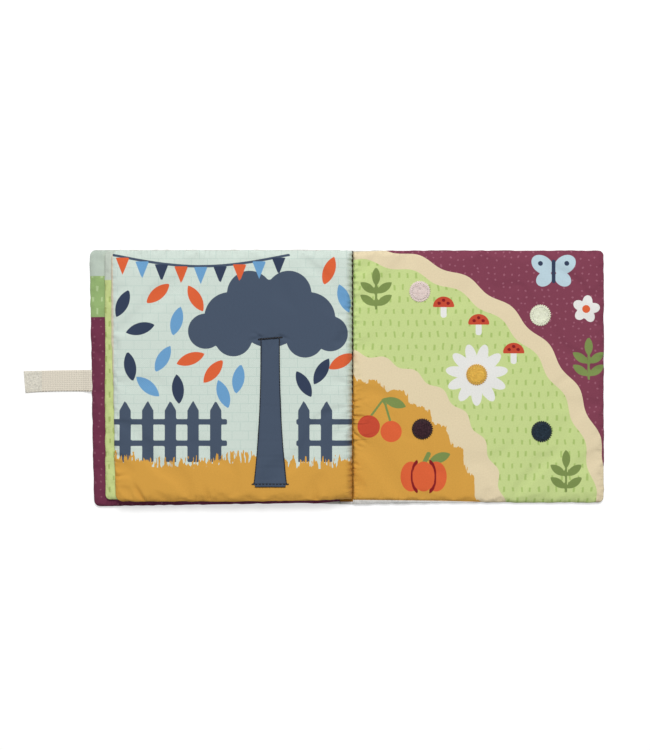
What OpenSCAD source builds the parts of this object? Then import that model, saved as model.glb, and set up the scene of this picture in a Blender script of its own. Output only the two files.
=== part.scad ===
// Soft cloth book for finger puppets, lying open at its last spread.
// Two padded covers hang on a cloth spine, two padded leaves are sewn into that spine and lie
// on the front cover, and round grip dots on the back cover's inside hold the puppets.
// X runs across the open book, Y along the spine and Z up from the table.
// The origin is on the table, under the middle of the spine.

/* [Covers] */
// Height of both covers along the spine
cover_h = 202; // [150:1:260]
// Width of each cover, from the spine to its outer edge
cover_w = 201; // [150:1:260]
// Thickness of a padded cover
cover_t = 5; // [3.5:0.5:9]
// Radius of the outer corners of covers and leaves
corner_r = 6.5; // [3:0.5:11]
// How far the front cover's outer edge leans towards the spine at its foot
cover_lean = 3.5; // [0:0.5:8]
// How much lower the front cover's foot lies at the outer edge than at the spine
cover_drop = 3; // [0:0.5:8]

/* [Spine] */
// Width of the cloth spine between the two covers
spine_w = 10; // [8:0.5:24]
// Thickness of the cloth spine
spine_t = 1.6; // [0.8:0.1:2.4]

/* [Leaves] */
// Width of a leaf, from its sewn line to its outer edge
leaf_w = 190; // [140:1:250]
// Height of a leaf along the spine
leaf_h = 199; // [140:1:255]
// Thickness of a padded leaf
leaf_t = 5; // [3.5:0.5:9]
// Distance between the sewn lines of the two leaves
leaf_pitch = 7; // [4:0.5:9]
// How far a leaf's outer edge leans towards the spine at its foot
leaf_lean = 1.5; // [0:0.5:6]

/* [Sewn edges] */
// Thickness where two cloths meet in a seam
seam_t = 1.2; // [0.8:0.1:2]
// Width over which a padded edge rolls down to its seam
edge_roll = 12; // [6:1:20]
// Width over which the padding thins out towards the spine
spine_roll = 14; // [8:1:20]
// Distance between the gathers along a seam
gather_pitch = 36; // [28:1:60]
// Depth of the gathers as a share of the padding above the seam
gather_depth = 0.22; // [0:0.02:0.4]

/* [Closing strap] */
// Width of the cotton tape
strap_w = 17.5; // [10:0.5:30]
// Thickness of the cotton tape
strap_t = 1.2; // [0.8:0.1:2]
// Length of the tape outside the front cover
strap_len = 54; // [40:1:90]
// Length of the tape that is sewn into the front cover's edge
strap_root = 8; // [4:0.5:14]
// Height of the tape's centre line above the middle of the cover
strap_y = -3.5; // [-60:0.5:60]
// Length of the grip patch on the tape's end
hook_len = 14; // [8:0.5:20]
// Thickness of the grip patches
hook_t = 0.9; // [0.6:0.1:1.2]
// Length of the mating patch on the outside of the back cover
loop_len = 28; // [18:1:40]
// Distance from the back cover's rolled edge to the mating patch
loop_margin = 1; // [1:0.5:20]

/* [Grip dots] */
// Diameter of a dot with its sewn rim
dot_d = 17.4; // [10:0.2:24]
// Thickness of a dot
dot_t = 1.3; // [0.9:0.1:2]
// Width of the sewn rim round a dot
dot_rim = 1.8; // [1:0.1:3]

/* [Sewn strip] */
// Length of the cloth strip on the second leaf
strip_len = 119; // [60:1:150]
// Width of the strip at its sewn end
strip_top_w = 15.2; // [8:0.2:24]
// Width of the strip at its free foot
strip_foot_w = 27; // [12:0.5:40]
// Thickness of the strip
strip_t = 1.6; // [1:0.1:2.4]
// Distance from the second leaf's sewn line to the strip's centre line
strip_x = 65.5; // [40:0.5:140]
// Height of the strip's sewn end above the middle of the leaf
strip_y = 31; // [0:1:70]

/* [Hidden] */

// Gap that soft layers keep from each other, and play of a tape in its seam
cloth_gap = 0.2;
tape_play = 0.1;

// Lines along the spine: the front cover's edge and the leaves' sewn lines
front_edge_x = -spine_w / 2;
back_edge_x = spine_w / 2 + cloth_gap;
second_sewn_x = spine_w / 2 - cloth_gap;
first_sewn_x = second_sewn_x - leaf_pitch;
gutter_x = front_edge_x - spine_roll;

// Outer edges of the covers, the front one at the strap's height
front_outer_x = front_edge_x - cover_w;
back_outer_x = back_edge_x + cover_w;
strap_edge_x = front_outer_x + cover_lean * (cover_h / 2 - strap_y) / cover_h;

// Outer end of the mating patch, and the height of the second leaf's upper face with the strip on it
loop_end_x = back_outer_x - edge_roll - loop_margin;
strip_z = cover_t + 2 * leaf_t + 3 * cloth_gap;

// Shares of a rolled edge at which its section is drawn, closest where it curves most
roll_shares = [0, 0.03, 0.12, 0.27, 0.55, 1];
// Shares of each step down to the spine at which its section is drawn
gutter_shares = [0.17, 0.33, 0.5, 0.67, 0.83, 1];

// Centres of the dots: each keeps its distance from the nearer edges of the back cover, or from its middle
dot_spots = [
    [back_edge_x + 53.5, cover_h / 2 - 33],
    [back_outer_x - 51, cover_h / 2 - 52],
    [back_edge_x + cover_w / 2 - 1.5, 1.5],
    [back_edge_x + 55.5, 59 - cover_h / 2],
    [back_outer_x - 50, 57 - cover_h / 2]
];

// Steps along a drawn curve
curve_steps = 10;
// Width over which the strap falls from its seam to the table
strap_fall = 9;
// How late the strip flares, and the radius of its foot's corners
flare_power = 2.4;
strip_corner_r = 2.5;
// Corner radii over which an outer corner's set-back dies away across a layer
corner_reach = 4;

// Rise from 0 at a seam to 1 where the padding is full: quarter-round at an outer edge, S-shaped at the spine
function roll_off(distance, width) =
    let (rest = 1 - min(max(distance / width, 0), 1)) sqrt(1 - rest * rest);
function ease(distance, width) = (1 - cos(180 * min(max(distance / width, 0), 1))) / 2;

function last(list) = list[len(list) - 1];
function reversed(list) = [for (k = [len(list) - 1 : -1 : 0]) list[k]];

// Upper faces of the layers at a place across the book, from the table up
function front_top(x) = spine_t + (cover_t - spine_t) * ease(front_edge_x - x, spine_roll);
function leaf_depth(x, sewn_x) = seam_t + (leaf_t - seam_t) * ease(sewn_x - x, spine_roll);
function first_base(x) = front_top(x) + cloth_gap;
function first_top(x) = x > first_sewn_x ? front_top(x) : first_base(x) + leaf_depth(x, first_sewn_x);
function second_base(x) = first_top(x) + cloth_gap;

// Places along a stretch between two rolled edges, two for each gather
function middle_count(from, to) = 2 * max(1, round((to - from) / gather_pitch)) - 1;
function middle_places(from, to) =
    let (count = middle_count(from, to)) [for (k = [1 : count]) from + (to - from) * k / (count + 1)];

// Places along a layer's height: rolled edge, gathers, rolled edge
function row_places(height) = concat(
    roll_shares * edge_roll,
    middle_places(edge_roll, height - edge_roll),
    [for (share = reversed(roll_shares)) height - share * edge_roll]
);

// Places across a layer: rolled outer edge, gathers, then the steps down to each sewn line
function column_places(outer_x, lines) = concat(
    [for (share = roll_shares) outer_x + share * edge_roll],
    middle_places(outer_x + edge_roll, gutter_x),
    [gutter_x],
    [for (k = [1 : len(lines) - 1], share = gutter_shares) lines[k - 1] + (lines[k] - lines[k - 1]) * share]
);

// Every other middle place is a gather, where the seam draws the cloth in
function is_gather(k, count) = k >= 0 && k < count && k % 2 == 0;
function draw_in(k, count, distance) =
    is_gather(k - len(roll_shares), count) ? gather_depth * max(0, 1 - distance / edge_roll) : 0;

// How far a round outer corner stands back at a distance from the head or foot
function corner_inset(distance) =
    let (rest = corner_r - min(distance, corner_r)) corner_r - sqrt(corner_r * corner_r - rest * rest);

// Padded sheet sewn shut round its rim: its outer edge at the first column, its spine edge at the last.
// base and depth give the height of the lower face and the thickness across the book.
module padded_sheet(outer_x, lines, height, base, depth, lean = 0, drop = 0) {
    columns = column_places(outer_x, lines);
    rows = row_places(height);
    nc = len(columns);
    nr = len(rows);
    width = last(columns) - outer_x;
    across = middle_count(outer_x + edge_roll, gutter_x);
    along = middle_count(edge_roll, height - edge_roll);

    function side(i, j) =
        let (
            from_outer = columns[i] - outer_x,
            from_end = min(rows[j], height - rows[j]),
            at_outer = max(0, 1 - from_outer / width),
            x = columns[i] + at_outer * lean * rows[j] / height
                + corner_inset(from_end) * max(0, 1 - from_outer / (corner_reach * corner_r)),
            y = height / 2 - rows[j] * (height + at_outer * drop) / height,
            full = depth(columns[i]),
            fill = roll_off(from_outer, edge_roll) * roll_off(from_end, edge_roll)
                * (1 - draw_in(i, across, from_end) - draw_in(j, along, from_outer)),
            half = (seam_t + (full - seam_t) * fill) / 2,
            middle = base(columns[i]) + full / 2
        ) [[x, y, middle + half], [x, y, middle - half]];

    grid = [for (j = [0 : nr - 1], i = [0 : nc - 1]) side(i, j)];
    upper = [for (pair = grid) pair[0]];
    lower = [for (pair = grid) pair[1]];
    count = nc * nr;
    function at(i, j) = j * nc + i;
    rim = concat(
        [for (i = [0 : nc - 2]) at(i, 0)],
        [for (j = [0 : nr - 2]) at(nc - 1, j)],
        [for (i = [nc - 1 : -1 : 1]) at(i, nr - 1)],
        [for (j = [nr - 1 : -1 : 1]) at(0, j)]
    );
    upper_faces = [
        for (j = [0 : nr - 2], i = [0 : nc - 2], half = [0, 1])
            half == 0
                ? [at(i, j), at(i + 1, j), at(i + 1, j + 1)]
                : [at(i, j), at(i + 1, j + 1), at(i, j + 1)]
    ];
    lower_faces = [for (face = upper_faces) [for (k = [2 : -1 : 0]) face[k] + count]];
    rim_faces = [
        for (k = [0 : len(rim) - 1], half = [0, 1])
            let (a = rim[k], b = rim[(k + 1) % len(rim)])
                half == 0 ? [b, a, a + count] : [b, a + count, b + count]
    ];
    polyhedron(concat(upper, lower), concat(upper_faces, lower_faces, rim_faces), convexity = 4);
}

// Centre line of the closing strap, from its root in the seam to its end on the table
function strap_path() = concat(
    [[strap_edge_x + strap_root, cover_t / 2]],
    [
        for (k = [0 : curve_steps])
            let (share = k / curve_steps, drop = (1 - cos(180 * share)) / 2)
                [strap_edge_x - strap_fall * share, cover_t / 2 + (strap_t - cover_t) / 2 * drop]
    ],
    [[strap_edge_x - strap_len, strap_t / 2]]
);

// Band of even height along a path in the XZ plane, spread along Y
module band(path, thickness, width) {
    rotate([90, 0, 0])
        linear_extrude(width, center = true)
            polygon(concat(
                [for (p = path) p + [0, thickness / 2]],
                [for (p = reversed(path)) p - [0, thickness / 2]]
            ));
}

// Padded front cover, with the slot in its outer seam that takes the strap
module front_cover() {
    color("#6e3145")
        difference() {
            padded_sheet(
                front_outer_x, [gutter_x, front_edge_x], cover_h,
                function(x) 0, function(x) front_top(x), cover_lean, cover_drop
            );
            translate([strap_edge_x, strap_y, cover_t / 2])
                band(
                    [[strap_root + tape_play, 0], [-strap_root, 0]],
                    strap_t + 2 * tape_play, strap_w + 2 * tape_play
                );
        }
}

// Cloth spine that joins the covers and carries the leaves' seams
module spine() {
    color("#d3d8d3")
        translate([front_edge_x, -cover_h / 2, 0])
            cube([spine_w, cover_h, spine_t]);
}

// Padded back cover, with the pocket in its outside that holds the mating grip patch
module back_cover() {
    color("#c9d88d")
        difference() {
            translate([back_edge_x - spine_w / 2, 0, 0])
                mirror([1, 0, 0])
                    padded_sheet(
                        front_outer_x, [gutter_x, front_edge_x], cover_h,
                        function(x) 0, function(x) front_top(x)
                    );
            translate([loop_end_x - loop_len / 2, strap_y, 0])
                cube([loop_len, strap_w, 2 * hook_t] + 2 * [tape_play, tape_play, tape_play], center = true);
        }
}

// The two padded leaves, one solid because one seam holds both of them to the spine
module pages() {
    color("#d0dcd6") {
        padded_sheet(
            first_sewn_x - leaf_w, [gutter_x, front_edge_x, first_sewn_x], leaf_h,
            function(x) first_base(x), function(x) leaf_depth(x, first_sewn_x), leaf_lean
        );
        padded_sheet(
            second_sewn_x - leaf_w, [gutter_x, front_edge_x, first_sewn_x, second_sewn_x], leaf_h,
            function(x) second_base(x), function(x) leaf_depth(x, second_sewn_x), leaf_lean
        );
        translate([first_sewn_x - seam_t, edge_roll - leaf_h / 2, first_base(first_sewn_x) + seam_t / 2])
            cube([seam_t, leaf_h - 2 * edge_roll, seam_t + cloth_gap]);
    }
}

// Flat cloth strip that hangs from its sewn end on the second leaf and flares to its foot
module sewn_strip() {
    function half_width(share) = (strip_top_w + (strip_foot_w - strip_top_w) * pow(share, flare_power)) / 2;
    foot_y = strip_corner_r - strip_len;
    foot_x = strip_foot_w / 2 - strip_corner_r;
    right_side = concat(
        [for (k = [0 : curve_steps]) let (share = k / curve_steps) [half_width(share), foot_y * share]],
        [
            for (k = [1 : curve_steps])
                let (turn = 90 * k / curve_steps)
                    [foot_x + strip_corner_r * cos(turn), foot_y - strip_corner_r * sin(turn)]
        ]
    );
    color("#475467")
        translate([second_sewn_x - strip_x, strip_y, strip_z])
            linear_extrude(strip_t)
                polygon(concat(right_side, [for (p = reversed(right_side)) [-p[0], p[1]]]));
}

// Cotton tape that closes the book round its fore-edge
module closing_strap() {
    color("#d0c7ba") translate([0, strap_y, 0]) band(strap_path(), strap_t, strap_w);
}

// Grip patch on the upper face of the strap's end
module strap_grip_patch() {
    color("#dad6ca")
        translate([strap_edge_x - strap_len, strap_y - strap_w / 2, strap_t])
            cube([hook_len, strap_w, hook_t]);
}

// Mating grip patch, let into the outside of the back cover flush with its lower face
module cover_grip_patch() {
    color("#d6d2c6")
        translate([loop_end_x - loop_len, strap_y - strap_w / 2, 0])
            cube([loop_len, strap_w, hook_t]);
}

// Round grip dot on the back cover's inside: a flat coin whose sewn rim rounds down to the cloth
module grip_dot(spot, tint) {
    rim = [
        for (k = [0 : curve_steps])
            let (turn = 90 * k / curve_steps)
                [dot_d / 2 - dot_rim * (1 - cos(turn)), dot_t * sin(turn)]
    ];
    color(tint)
        translate([spot[0], spot[1], cover_t])
            rotate_extrude($fn = 96)
                polygon(concat([[0, 0]], rim, [[0, dot_t]]));
}

front_cover();
spine();
back_cover();
pages();
sewn_strip();
closing_strap();
strap_grip_patch();
cover_grip_patch();
grip_dot(dot_spots[0], "#d6c5c0");  // dot_blush
grip_dot(dot_spots[1], "#dee1c8");  // dot_ivory
grip_dot(dot_spots[2], "#d8ac4a");  // dot_gold
grip_dot(dot_spots[3], "#3c242e");  // dot_plum
grip_dot(dot_spots[4], "#2a393f");  // dot_navy
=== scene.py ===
"""Dresses a soft finger puppet book in padded cloth, print, tape and thread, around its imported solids."""
from __future__ import annotations

import functools
import logging
import math
from dataclasses import dataclass, field
from enum import Enum
from typing import Any, Callable, Sequence

import bpy
import numpy as np
from bpy.types import Material, Mesh, Node, NodeSocket, NodeTree, Object
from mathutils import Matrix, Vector
from mathutils.bvhtree import BVHTree


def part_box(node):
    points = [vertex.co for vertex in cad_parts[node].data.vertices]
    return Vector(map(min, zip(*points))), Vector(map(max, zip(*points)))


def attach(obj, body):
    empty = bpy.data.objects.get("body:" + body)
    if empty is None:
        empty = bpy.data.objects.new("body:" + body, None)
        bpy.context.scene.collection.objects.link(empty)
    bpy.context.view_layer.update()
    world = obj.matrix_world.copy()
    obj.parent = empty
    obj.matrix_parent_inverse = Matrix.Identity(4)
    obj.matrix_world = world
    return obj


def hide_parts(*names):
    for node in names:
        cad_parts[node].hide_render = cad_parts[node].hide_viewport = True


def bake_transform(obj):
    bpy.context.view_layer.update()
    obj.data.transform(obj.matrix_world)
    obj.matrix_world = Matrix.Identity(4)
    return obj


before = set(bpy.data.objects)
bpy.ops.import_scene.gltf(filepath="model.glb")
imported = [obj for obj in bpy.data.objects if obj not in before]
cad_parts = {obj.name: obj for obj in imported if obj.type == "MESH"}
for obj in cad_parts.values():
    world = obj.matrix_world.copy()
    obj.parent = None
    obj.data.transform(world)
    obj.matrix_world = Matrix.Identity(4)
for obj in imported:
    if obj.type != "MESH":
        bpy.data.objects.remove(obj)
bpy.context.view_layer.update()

log = logging.getLogger("puppet_book")

MM = 0.001
SEED = 11
BOOK = "book"
BACK = "back_cover"
FLAT_MAP = "flat"
# name of the attribute that holds the fold strengths and the painted seam shade
PULL_AND_SHADE = "pull"
MATH = "ShaderNodeMath"
VECTOR_MATH = "ShaderNodeVectorMath"
NOISE = "ShaderNodeTexNoise"
MAP_RANGE = "ShaderNodeMapRange"

Array = np.ndarray
Flat = Grids = tuple[Array, Array]
Field = Callable[[Flat], Array]
Profile = Callable[[Array], Array]
Point = tuple[float, float]
Triple = tuple[float, float, float]
Line = Sequence[Sequence[float]]
Corners = tuple[list[float], list[float]]


class Ink(Enum):
    """Dyes and printing inks, as sRGB hex values."""

    MINT = "cfdcd3"
    BRICK_LINE = "bccfc6"
    GOLD = "d59f45"
    SLATE = "475467"
    NAVY = "333f57"
    ORANGE = "dc6238"
    SKY = "6b9fcb"
    MAROON = "803e52"
    ROSE = "9a5c6f"
    LIME = "c6d78f"
    LIME_DASH = "a9c270"
    TAN = "e3d3b0"
    WHITE = "e6e6e2"
    RED = "c64b33"
    WINE = "851a20"
    LEAF = "7b8f4f"
    ICE = "b9d0da"
    COVER_MINT = "b9c6ba"
    COVER_GREEN = "97b475"
    COVER_DASH = "b4cb95"
    COVER_MAROON = "70324a"
    COVER_DOT = "864e60"
    PALE_CLOTH = "d2d1cd"
    CREAM = "e2d6c0"
    FLAX = "dfd7c7"
    GRIP_CREAM = "e0dccf"
    BLUSH = "e1d0ca"
    IVORY = "e5e8d2"
    BUTTER = "e2b54f"
    PLUM = "392129"
    INK_BLUE = "22303c"
    THREAD_NAVY = "10131e"
    BLUSH_THREAD = "f2e0de"
    IVORY_THREAD = "eceed6"
    BUTTER_THREAD = "cfa24a"
    PLUM_THREAD = "2e1b1d"
    # dark cloth and thread for the gutter, and dark gold for its lower part: painted shade of the fold
    GUTTER_SHADE_DARK = "3a2822"
    GUTTER_SHADE_GOLD = "a8701f"
    BLUE_THREAD = "1b2a2c"
    # darker thread for the strap's lower edge: stitching and painted shade of that edge
    SELVEDGE_SHADE = "8d8679"
    OLD_LIME = "c8d68f"
    OLD_LIME_DASH = "abbb70"
    LEAF_MINT = "c3cdc1"


def linear(ink: Ink) -> tuple[float, float, float, float]:
    """Turns an ink's sRGB hex value into linear red, green, blue and alpha.

    Args:
        ink: The ink to convert.

    Returns:
        The linear colour with full alpha.
    """
    parts = [int(ink.value[k:k + 2], 16) / 255 for k in (0, 2, 4)]
    bent = [c / 12.92 if c <= 0.04045 else ((c + 0.055) / 1.055) ** 2.4 for c in parts]
    return (bent[0], bent[1], bent[2], 1.0)


# Flat shapes, as signed distances in millimetres that are positive inside


def disc(at: Flat, centre: Point, radius: float) -> Array:
    """Gives the signed distance to a disc's edge."""
    return radius - np.hypot(at[0] - centre[0], at[1] - centre[1])


def turned(at: Flat, centre: Point, degrees: float) -> Flat:
    """Gives places in axes that are moved to a centre and turned by an angle."""
    c, s = math.cos(math.radians(degrees)), math.sin(math.radians(degrees))
    u, v = at[0] - centre[0], at[1] - centre[1]
    return u * c + v * s, v * c - u * s


def oval(at: Flat, centre: Point, half: Point, degrees: float = 0.0) -> Array:
    """Gives about the signed distance to an ellipse's edge."""
    u, v = turned(at, centre, degrees)
    return (1 - np.hypot(u / half[0], v / half[1])) * min(half)


def bar(at: Flat, start: Point, end: Point, radius: float) -> Array:
    """Gives the signed distance to a round-ended bar's edge."""
    du, dv = end[0] - start[0], end[1] - start[1]
    share = ((at[0] - start[0]) * du + (at[1] - start[1]) * dv) / (du * du + dv * dv)
    share = np.clip(share, 0, 1)
    return radius - np.hypot(at[0] - start[0] - share * du, at[1] - start[1] - share * dv)


def petal(at: Flat, centre: Point, length: float, width: float, degrees: float) -> Array:
    """Gives the signed distance to a pointed oval, the overlap of two equal discs."""
    radius = (length * length + width * width) / (4 * width)
    u, v = turned(at, centre, degrees)
    return radius - np.hypot(u, np.abs(v) + radius - width / 2)


def block(at: Flat, low: Point, high: Point, corner: float) -> Array:
    """Gives the signed distance to a rectangle with round corners."""
    u = np.abs(at[0] - (low[0] + high[0]) / 2) - (high[0] - low[0]) / 2 + corner
    v = np.abs(at[1] - (low[1] + high[1]) / 2) - (high[1] - low[1]) / 2 + corner
    outside = np.hypot(np.maximum(u, 0), np.maximum(v, 0))
    return corner - outside - np.minimum(np.maximum(u, v), 0)


def convex(at: Flat, corners: Sequence[Point]) -> Array:
    """Gives the signed distance to a convex outline, whose corners go anticlockwise."""
    sides = []
    for (u0, v0), (u1, v1) in zip(corners, [*corners[1:], corners[0]]):
        length = math.hypot(u1 - u0, v1 - v0)
        sides.append(((at[1] - v0) * (u1 - u0) - (at[0] - u0) * (v1 - v0)) / length)
    return np.minimum.reduce(sides)


def union(*shapes: Array) -> Array:
    """Gives the signed distance to shapes taken together."""
    return np.maximum.reduce(shapes)


def ease(share: Array) -> Array:
    """Gives an S-shaped rise from 0 to 1."""
    return (1 - np.cos(np.pi * np.clip(share, 0, 1))) / 2


def round_rise(share: Array) -> Array:
    """Gives a quarter-round rise from 0 to 1."""
    return np.sqrt(1 - (1 - np.clip(share, 0, 1)) ** 2)


def near(distance: Array, width: Any) -> Array:
    """Gives a bell-shaped share that is 1 at no distance and falls off over a width."""
    return np.exp(-((distance / width) ** 2))


def wander(at: Array, pitch: float, seed: int) -> Array:
    """Gives a smooth random curve between -1 and 1.

    Args:
        at: Places along the curve.
        pitch: Distance between its random turns.
        seed: Seed of the random turns.

    Returns:
        The curve's height at each place.
    """
    knots = np.random.default_rng(seed).uniform(-1, 1, 512)
    place = at / pitch + 200
    low = np.floor(place).astype(int)
    share = ease(place - low)
    return knots[low % 512] * (1 - share) + knots[(low + 1) % 512] * share


def ripple(at: Flat, pitch: float, seed: int) -> Array:
    """Gives a smooth random surface between -1 and 1, with a chosen distance between its random turns."""
    knots = np.random.default_rng(seed).uniform(-1, 1, (128, 128))
    places = [axis / pitch + 50 for axis in at]
    low = [np.floor(place).astype(int) for place in places]
    share = [ease(place - base) for place, base in zip(places, low)]
    total = np.zeros_like(at[0])
    for a in (0, 1):
        for b in (0, 1):
            weight = (share[0] if a else 1 - share[0]) * (share[1] if b else 1 - share[1])
            total += weight * knots[(low[0] + a) % 128, (low[1] + b) % 128]
    return total


# Finishes


class NodeWork:
    """A node tree that is being written."""

    def __init__(self, tree: NodeTree) -> None:
        """Keeps the tree to write in."""
        self.tree = tree

    def add(self, kind: str, into: dict[str | int, Any] | None = None, **settings: Any) -> Node:
        """Adds one node with its settings and links.

        Args:
            kind: The node's type name.
            into: Values, sockets or nodes for its inputs, by name or number; a node gives its first output.
            settings: Values for the node's own properties.

        Returns:
            The new node.
        """
        node = self.tree.nodes.new(kind)
        for name, value in settings.items():
            setattr(node, name, value)
        for key, value in (into or {}).items():
            source = value.outputs[0] if isinstance(value, Node) else value
            if isinstance(source, NodeSocket):
                self.tree.links.new(source, node.inputs[key])
            else:
                node.inputs[key].default_value = source
        return node


class Graph(NodeWork):
    """A material whose node tree is being written."""

    def __init__(self, name: str) -> None:
        """Starts an empty node material."""
        self.material = bpy.data.materials.new(name)
        self.material.use_nodes = True
        self.material.node_tree.nodes.clear()
        super().__init__(self.material.node_tree)


class Recipe(NodeWork):
    """A Geometry Nodes tree with named sizes, whose results become plain meshes."""

    def __init__(self, name: str, sizes: Sequence[str]) -> None:
        """Starts a tree that takes a shape, a material and named sizes.

        Args:
            name: The tree's name.
            sizes: Names of its sizes.
        """
        super().__init__(bpy.data.node_groups.new(name, "GeometryNodeTree"))
        face = self.tree.interface
        face.new_socket("Shape", in_out="INPUT", socket_type="NodeSocketGeometry")
        face.new_socket("Shape", in_out="OUTPUT", socket_type="NodeSocketGeometry")
        kinds = {"Material": "NodeSocketMaterial"} | {size: "NodeSocketFloat" for size in sizes}
        made = {key: face.new_socket(key, in_out="INPUT", socket_type=kind) for key, kind in kinds.items()}
        self.keys = {key: socket.identifier for key, socket in made.items()}
        self.given = self.add("NodeGroupInput").outputs

    def close(self, instances: Node) -> None:
        """Ends the tree with real faces and their material."""
        real = self.add("GeometryNodeRealizeInstances", {0: instances})
        dyed = self.add("GeometryNodeSetMaterial", {"Geometry": real, "Material": self.given["Material"]})
        self.add("NodeGroupOutput", {0: dyed})

    def made(self, name: str, source: Mesh, **values: Any) -> Mesh:
        """Runs the tree on a mesh.

        Args:
            name: Name of the result.
            source: The path or surface that the tree works on.
            values: The tree's material and sizes.

        Returns:
            The result as a plain mesh.
        """
        maker = bpy.data.objects.new(name, source)
        bpy.context.scene.collection.objects.link(maker)
        modifier = maker.modifiers.new(name, "NODES")
        modifier.node_group = self.tree
        for key, value in values.items():
            modifier[self.keys[key]] = value
        graph = bpy.context.evaluated_depsgraph_get()
        mesh = bpy.data.meshes.new_from_object(maker.evaluated_get(graph))
        maker.modifiers.remove(modifier)
        bpy.data.objects.remove(maker)
        mesh.name = name
        return mesh


@functools.cache
def stitch_recipe() -> Recipe:
    """Writes the tree that lays a spindle of thread at each step along a path.

    Returns:
        The tree, whose Slant turns the stitches to one side and the other in turn.
    """
    recipe = Recipe("thread_stitches", ("Pitch", "Length", "Radius", "Slant"))
    given, add = recipe.given, recipe.add
    path = add("GeometryNodeMeshToCurve", {"Mesh": given["Shape"]})
    steps = add("GeometryNodeResampleCurve", {"Curve": path, "Length": given["Pitch"]}, mode="LENGTH")
    tangent = add("GeometryNodeInputTangent")
    along = add("FunctionNodeAlignRotationToVector", {"Vector": tangent}, axis="X", pivot_axis="Z")
    odd = add(MATH, {0: add("GeometryNodeInputIndex"), 1: 2.0}, operation="MODULO")
    side = add(MATH, {0: odd, 1: 2.0, 2: -1.0}, operation="MULTIPLY_ADD")
    slant = add(MATH, {0: side, 1: given["Slant"]}, operation="MULTIPLY")
    turn = add("FunctionNodeEulerToRotation", {0: add("ShaderNodeCombineXYZ", {2: slant})})
    turned_by = add("FunctionNodeRotateRotation", {0: along, 1: turn}, rotation_space="LOCAL")
    half = add(MATH, {0: given["Length"], 1: 0.5}, operation="MULTIPLY")
    size = add("ShaderNodeCombineXYZ", {0: half, 1: given["Radius"], 2: given["Radius"]})
    spindle = add("GeometryNodeMeshUVSphere", {"Segments": 8, "Rings": 5, "Radius": 1.0})
    places = {"Points": steps, "Instance": spindle, "Rotation": turned_by, "Scale": size}
    recipe.close(add("GeometryNodeInstanceOnPoints", places))
    return recipe


@functools.cache
def pile_recipe() -> Recipe:
    """Writes the tree that strews small filament loops over a surface.

    Returns:
        The tree, whose Density counts loops on a square metre.
    """
    recipe = Recipe("grip_loops", ("Density", "Loop", "Filament"))
    given, add = recipe.given, recipe.add
    strewn = {"Mesh": given["Shape"], "Density": given["Density"], "Seed": SEED}
    spots = add("GeometryNodeDistributePointsOnFaces", strewn)
    half_round = {"Resolution": 5, "Radius": given["Loop"], "Sweep Angle": math.pi}
    arc = add("GeometryNodeCurveArc", half_round, mode="RADIUS")
    upright = add("GeometryNodeTransform", {"Geometry": arc, "Rotation": (math.pi / 2, 0.0, 0.0)})
    section = add("GeometryNodeCurvePrimitiveCircle", {"Resolution": 4, "Radius": given["Filament"]})
    loop = add("GeometryNodeCurveToMesh", {"Curve": upright, "Profile Curve": section})
    tilts = {0: (-0.6, -0.6, 0.0), 1: (0.6, 0.6, math.tau), "Seed": SEED}
    spin = add("FunctionNodeRandomValue", tilts, data_type="FLOAT_VECTOR")
    turn = add("FunctionNodeEulerToRotation", {0: spin})
    stood = add("FunctionNodeRotateRotation", {0: spots.outputs["Rotation"], 1: turn}, rotation_space="LOCAL")
    recipe.close(add("GeometryNodeInstanceOnPoints", {"Points": spots, "Instance": loop, "Rotation": stood}))
    return recipe


def finish_fibre(
    graph: Graph, dye: Any, tone: Any, height: Any, relief: Point, shader: dict[str, Any], under: Any = None
) -> None:
    """Ends a material with its uneven dye, its relief and its shader.

    Args:
        graph: The material being written.
        dye: A linear colour, or the socket that gives it.
        tone: What the dye's brightness is multiplied by.
        height: The relief's height.
        relief: The relief's strength, and its depth in millimetres.
        shader: Values for the shader's sockets.
        under: A coarser relief that this one lies on.
    """
    colour = dye[:3] if isinstance(dye, tuple) else dye
    uneven = graph.add(VECTOR_MATH, {0: colour, "Scale": tone}, operation="SCALE")
    carried = {} if under is None else {"Normal": under}
    bump = graph.add(
        "ShaderNodeBump", {"Height": height, "Strength": relief[0], "Distance": relief[1] * MM} | carried
    )
    body = graph.add("ShaderNodeBsdfPrincipled", {"Base Color": uneven, "Normal": bump} | shader)
    graph.add("ShaderNodeOutputMaterial", {"Surface": body})


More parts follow.
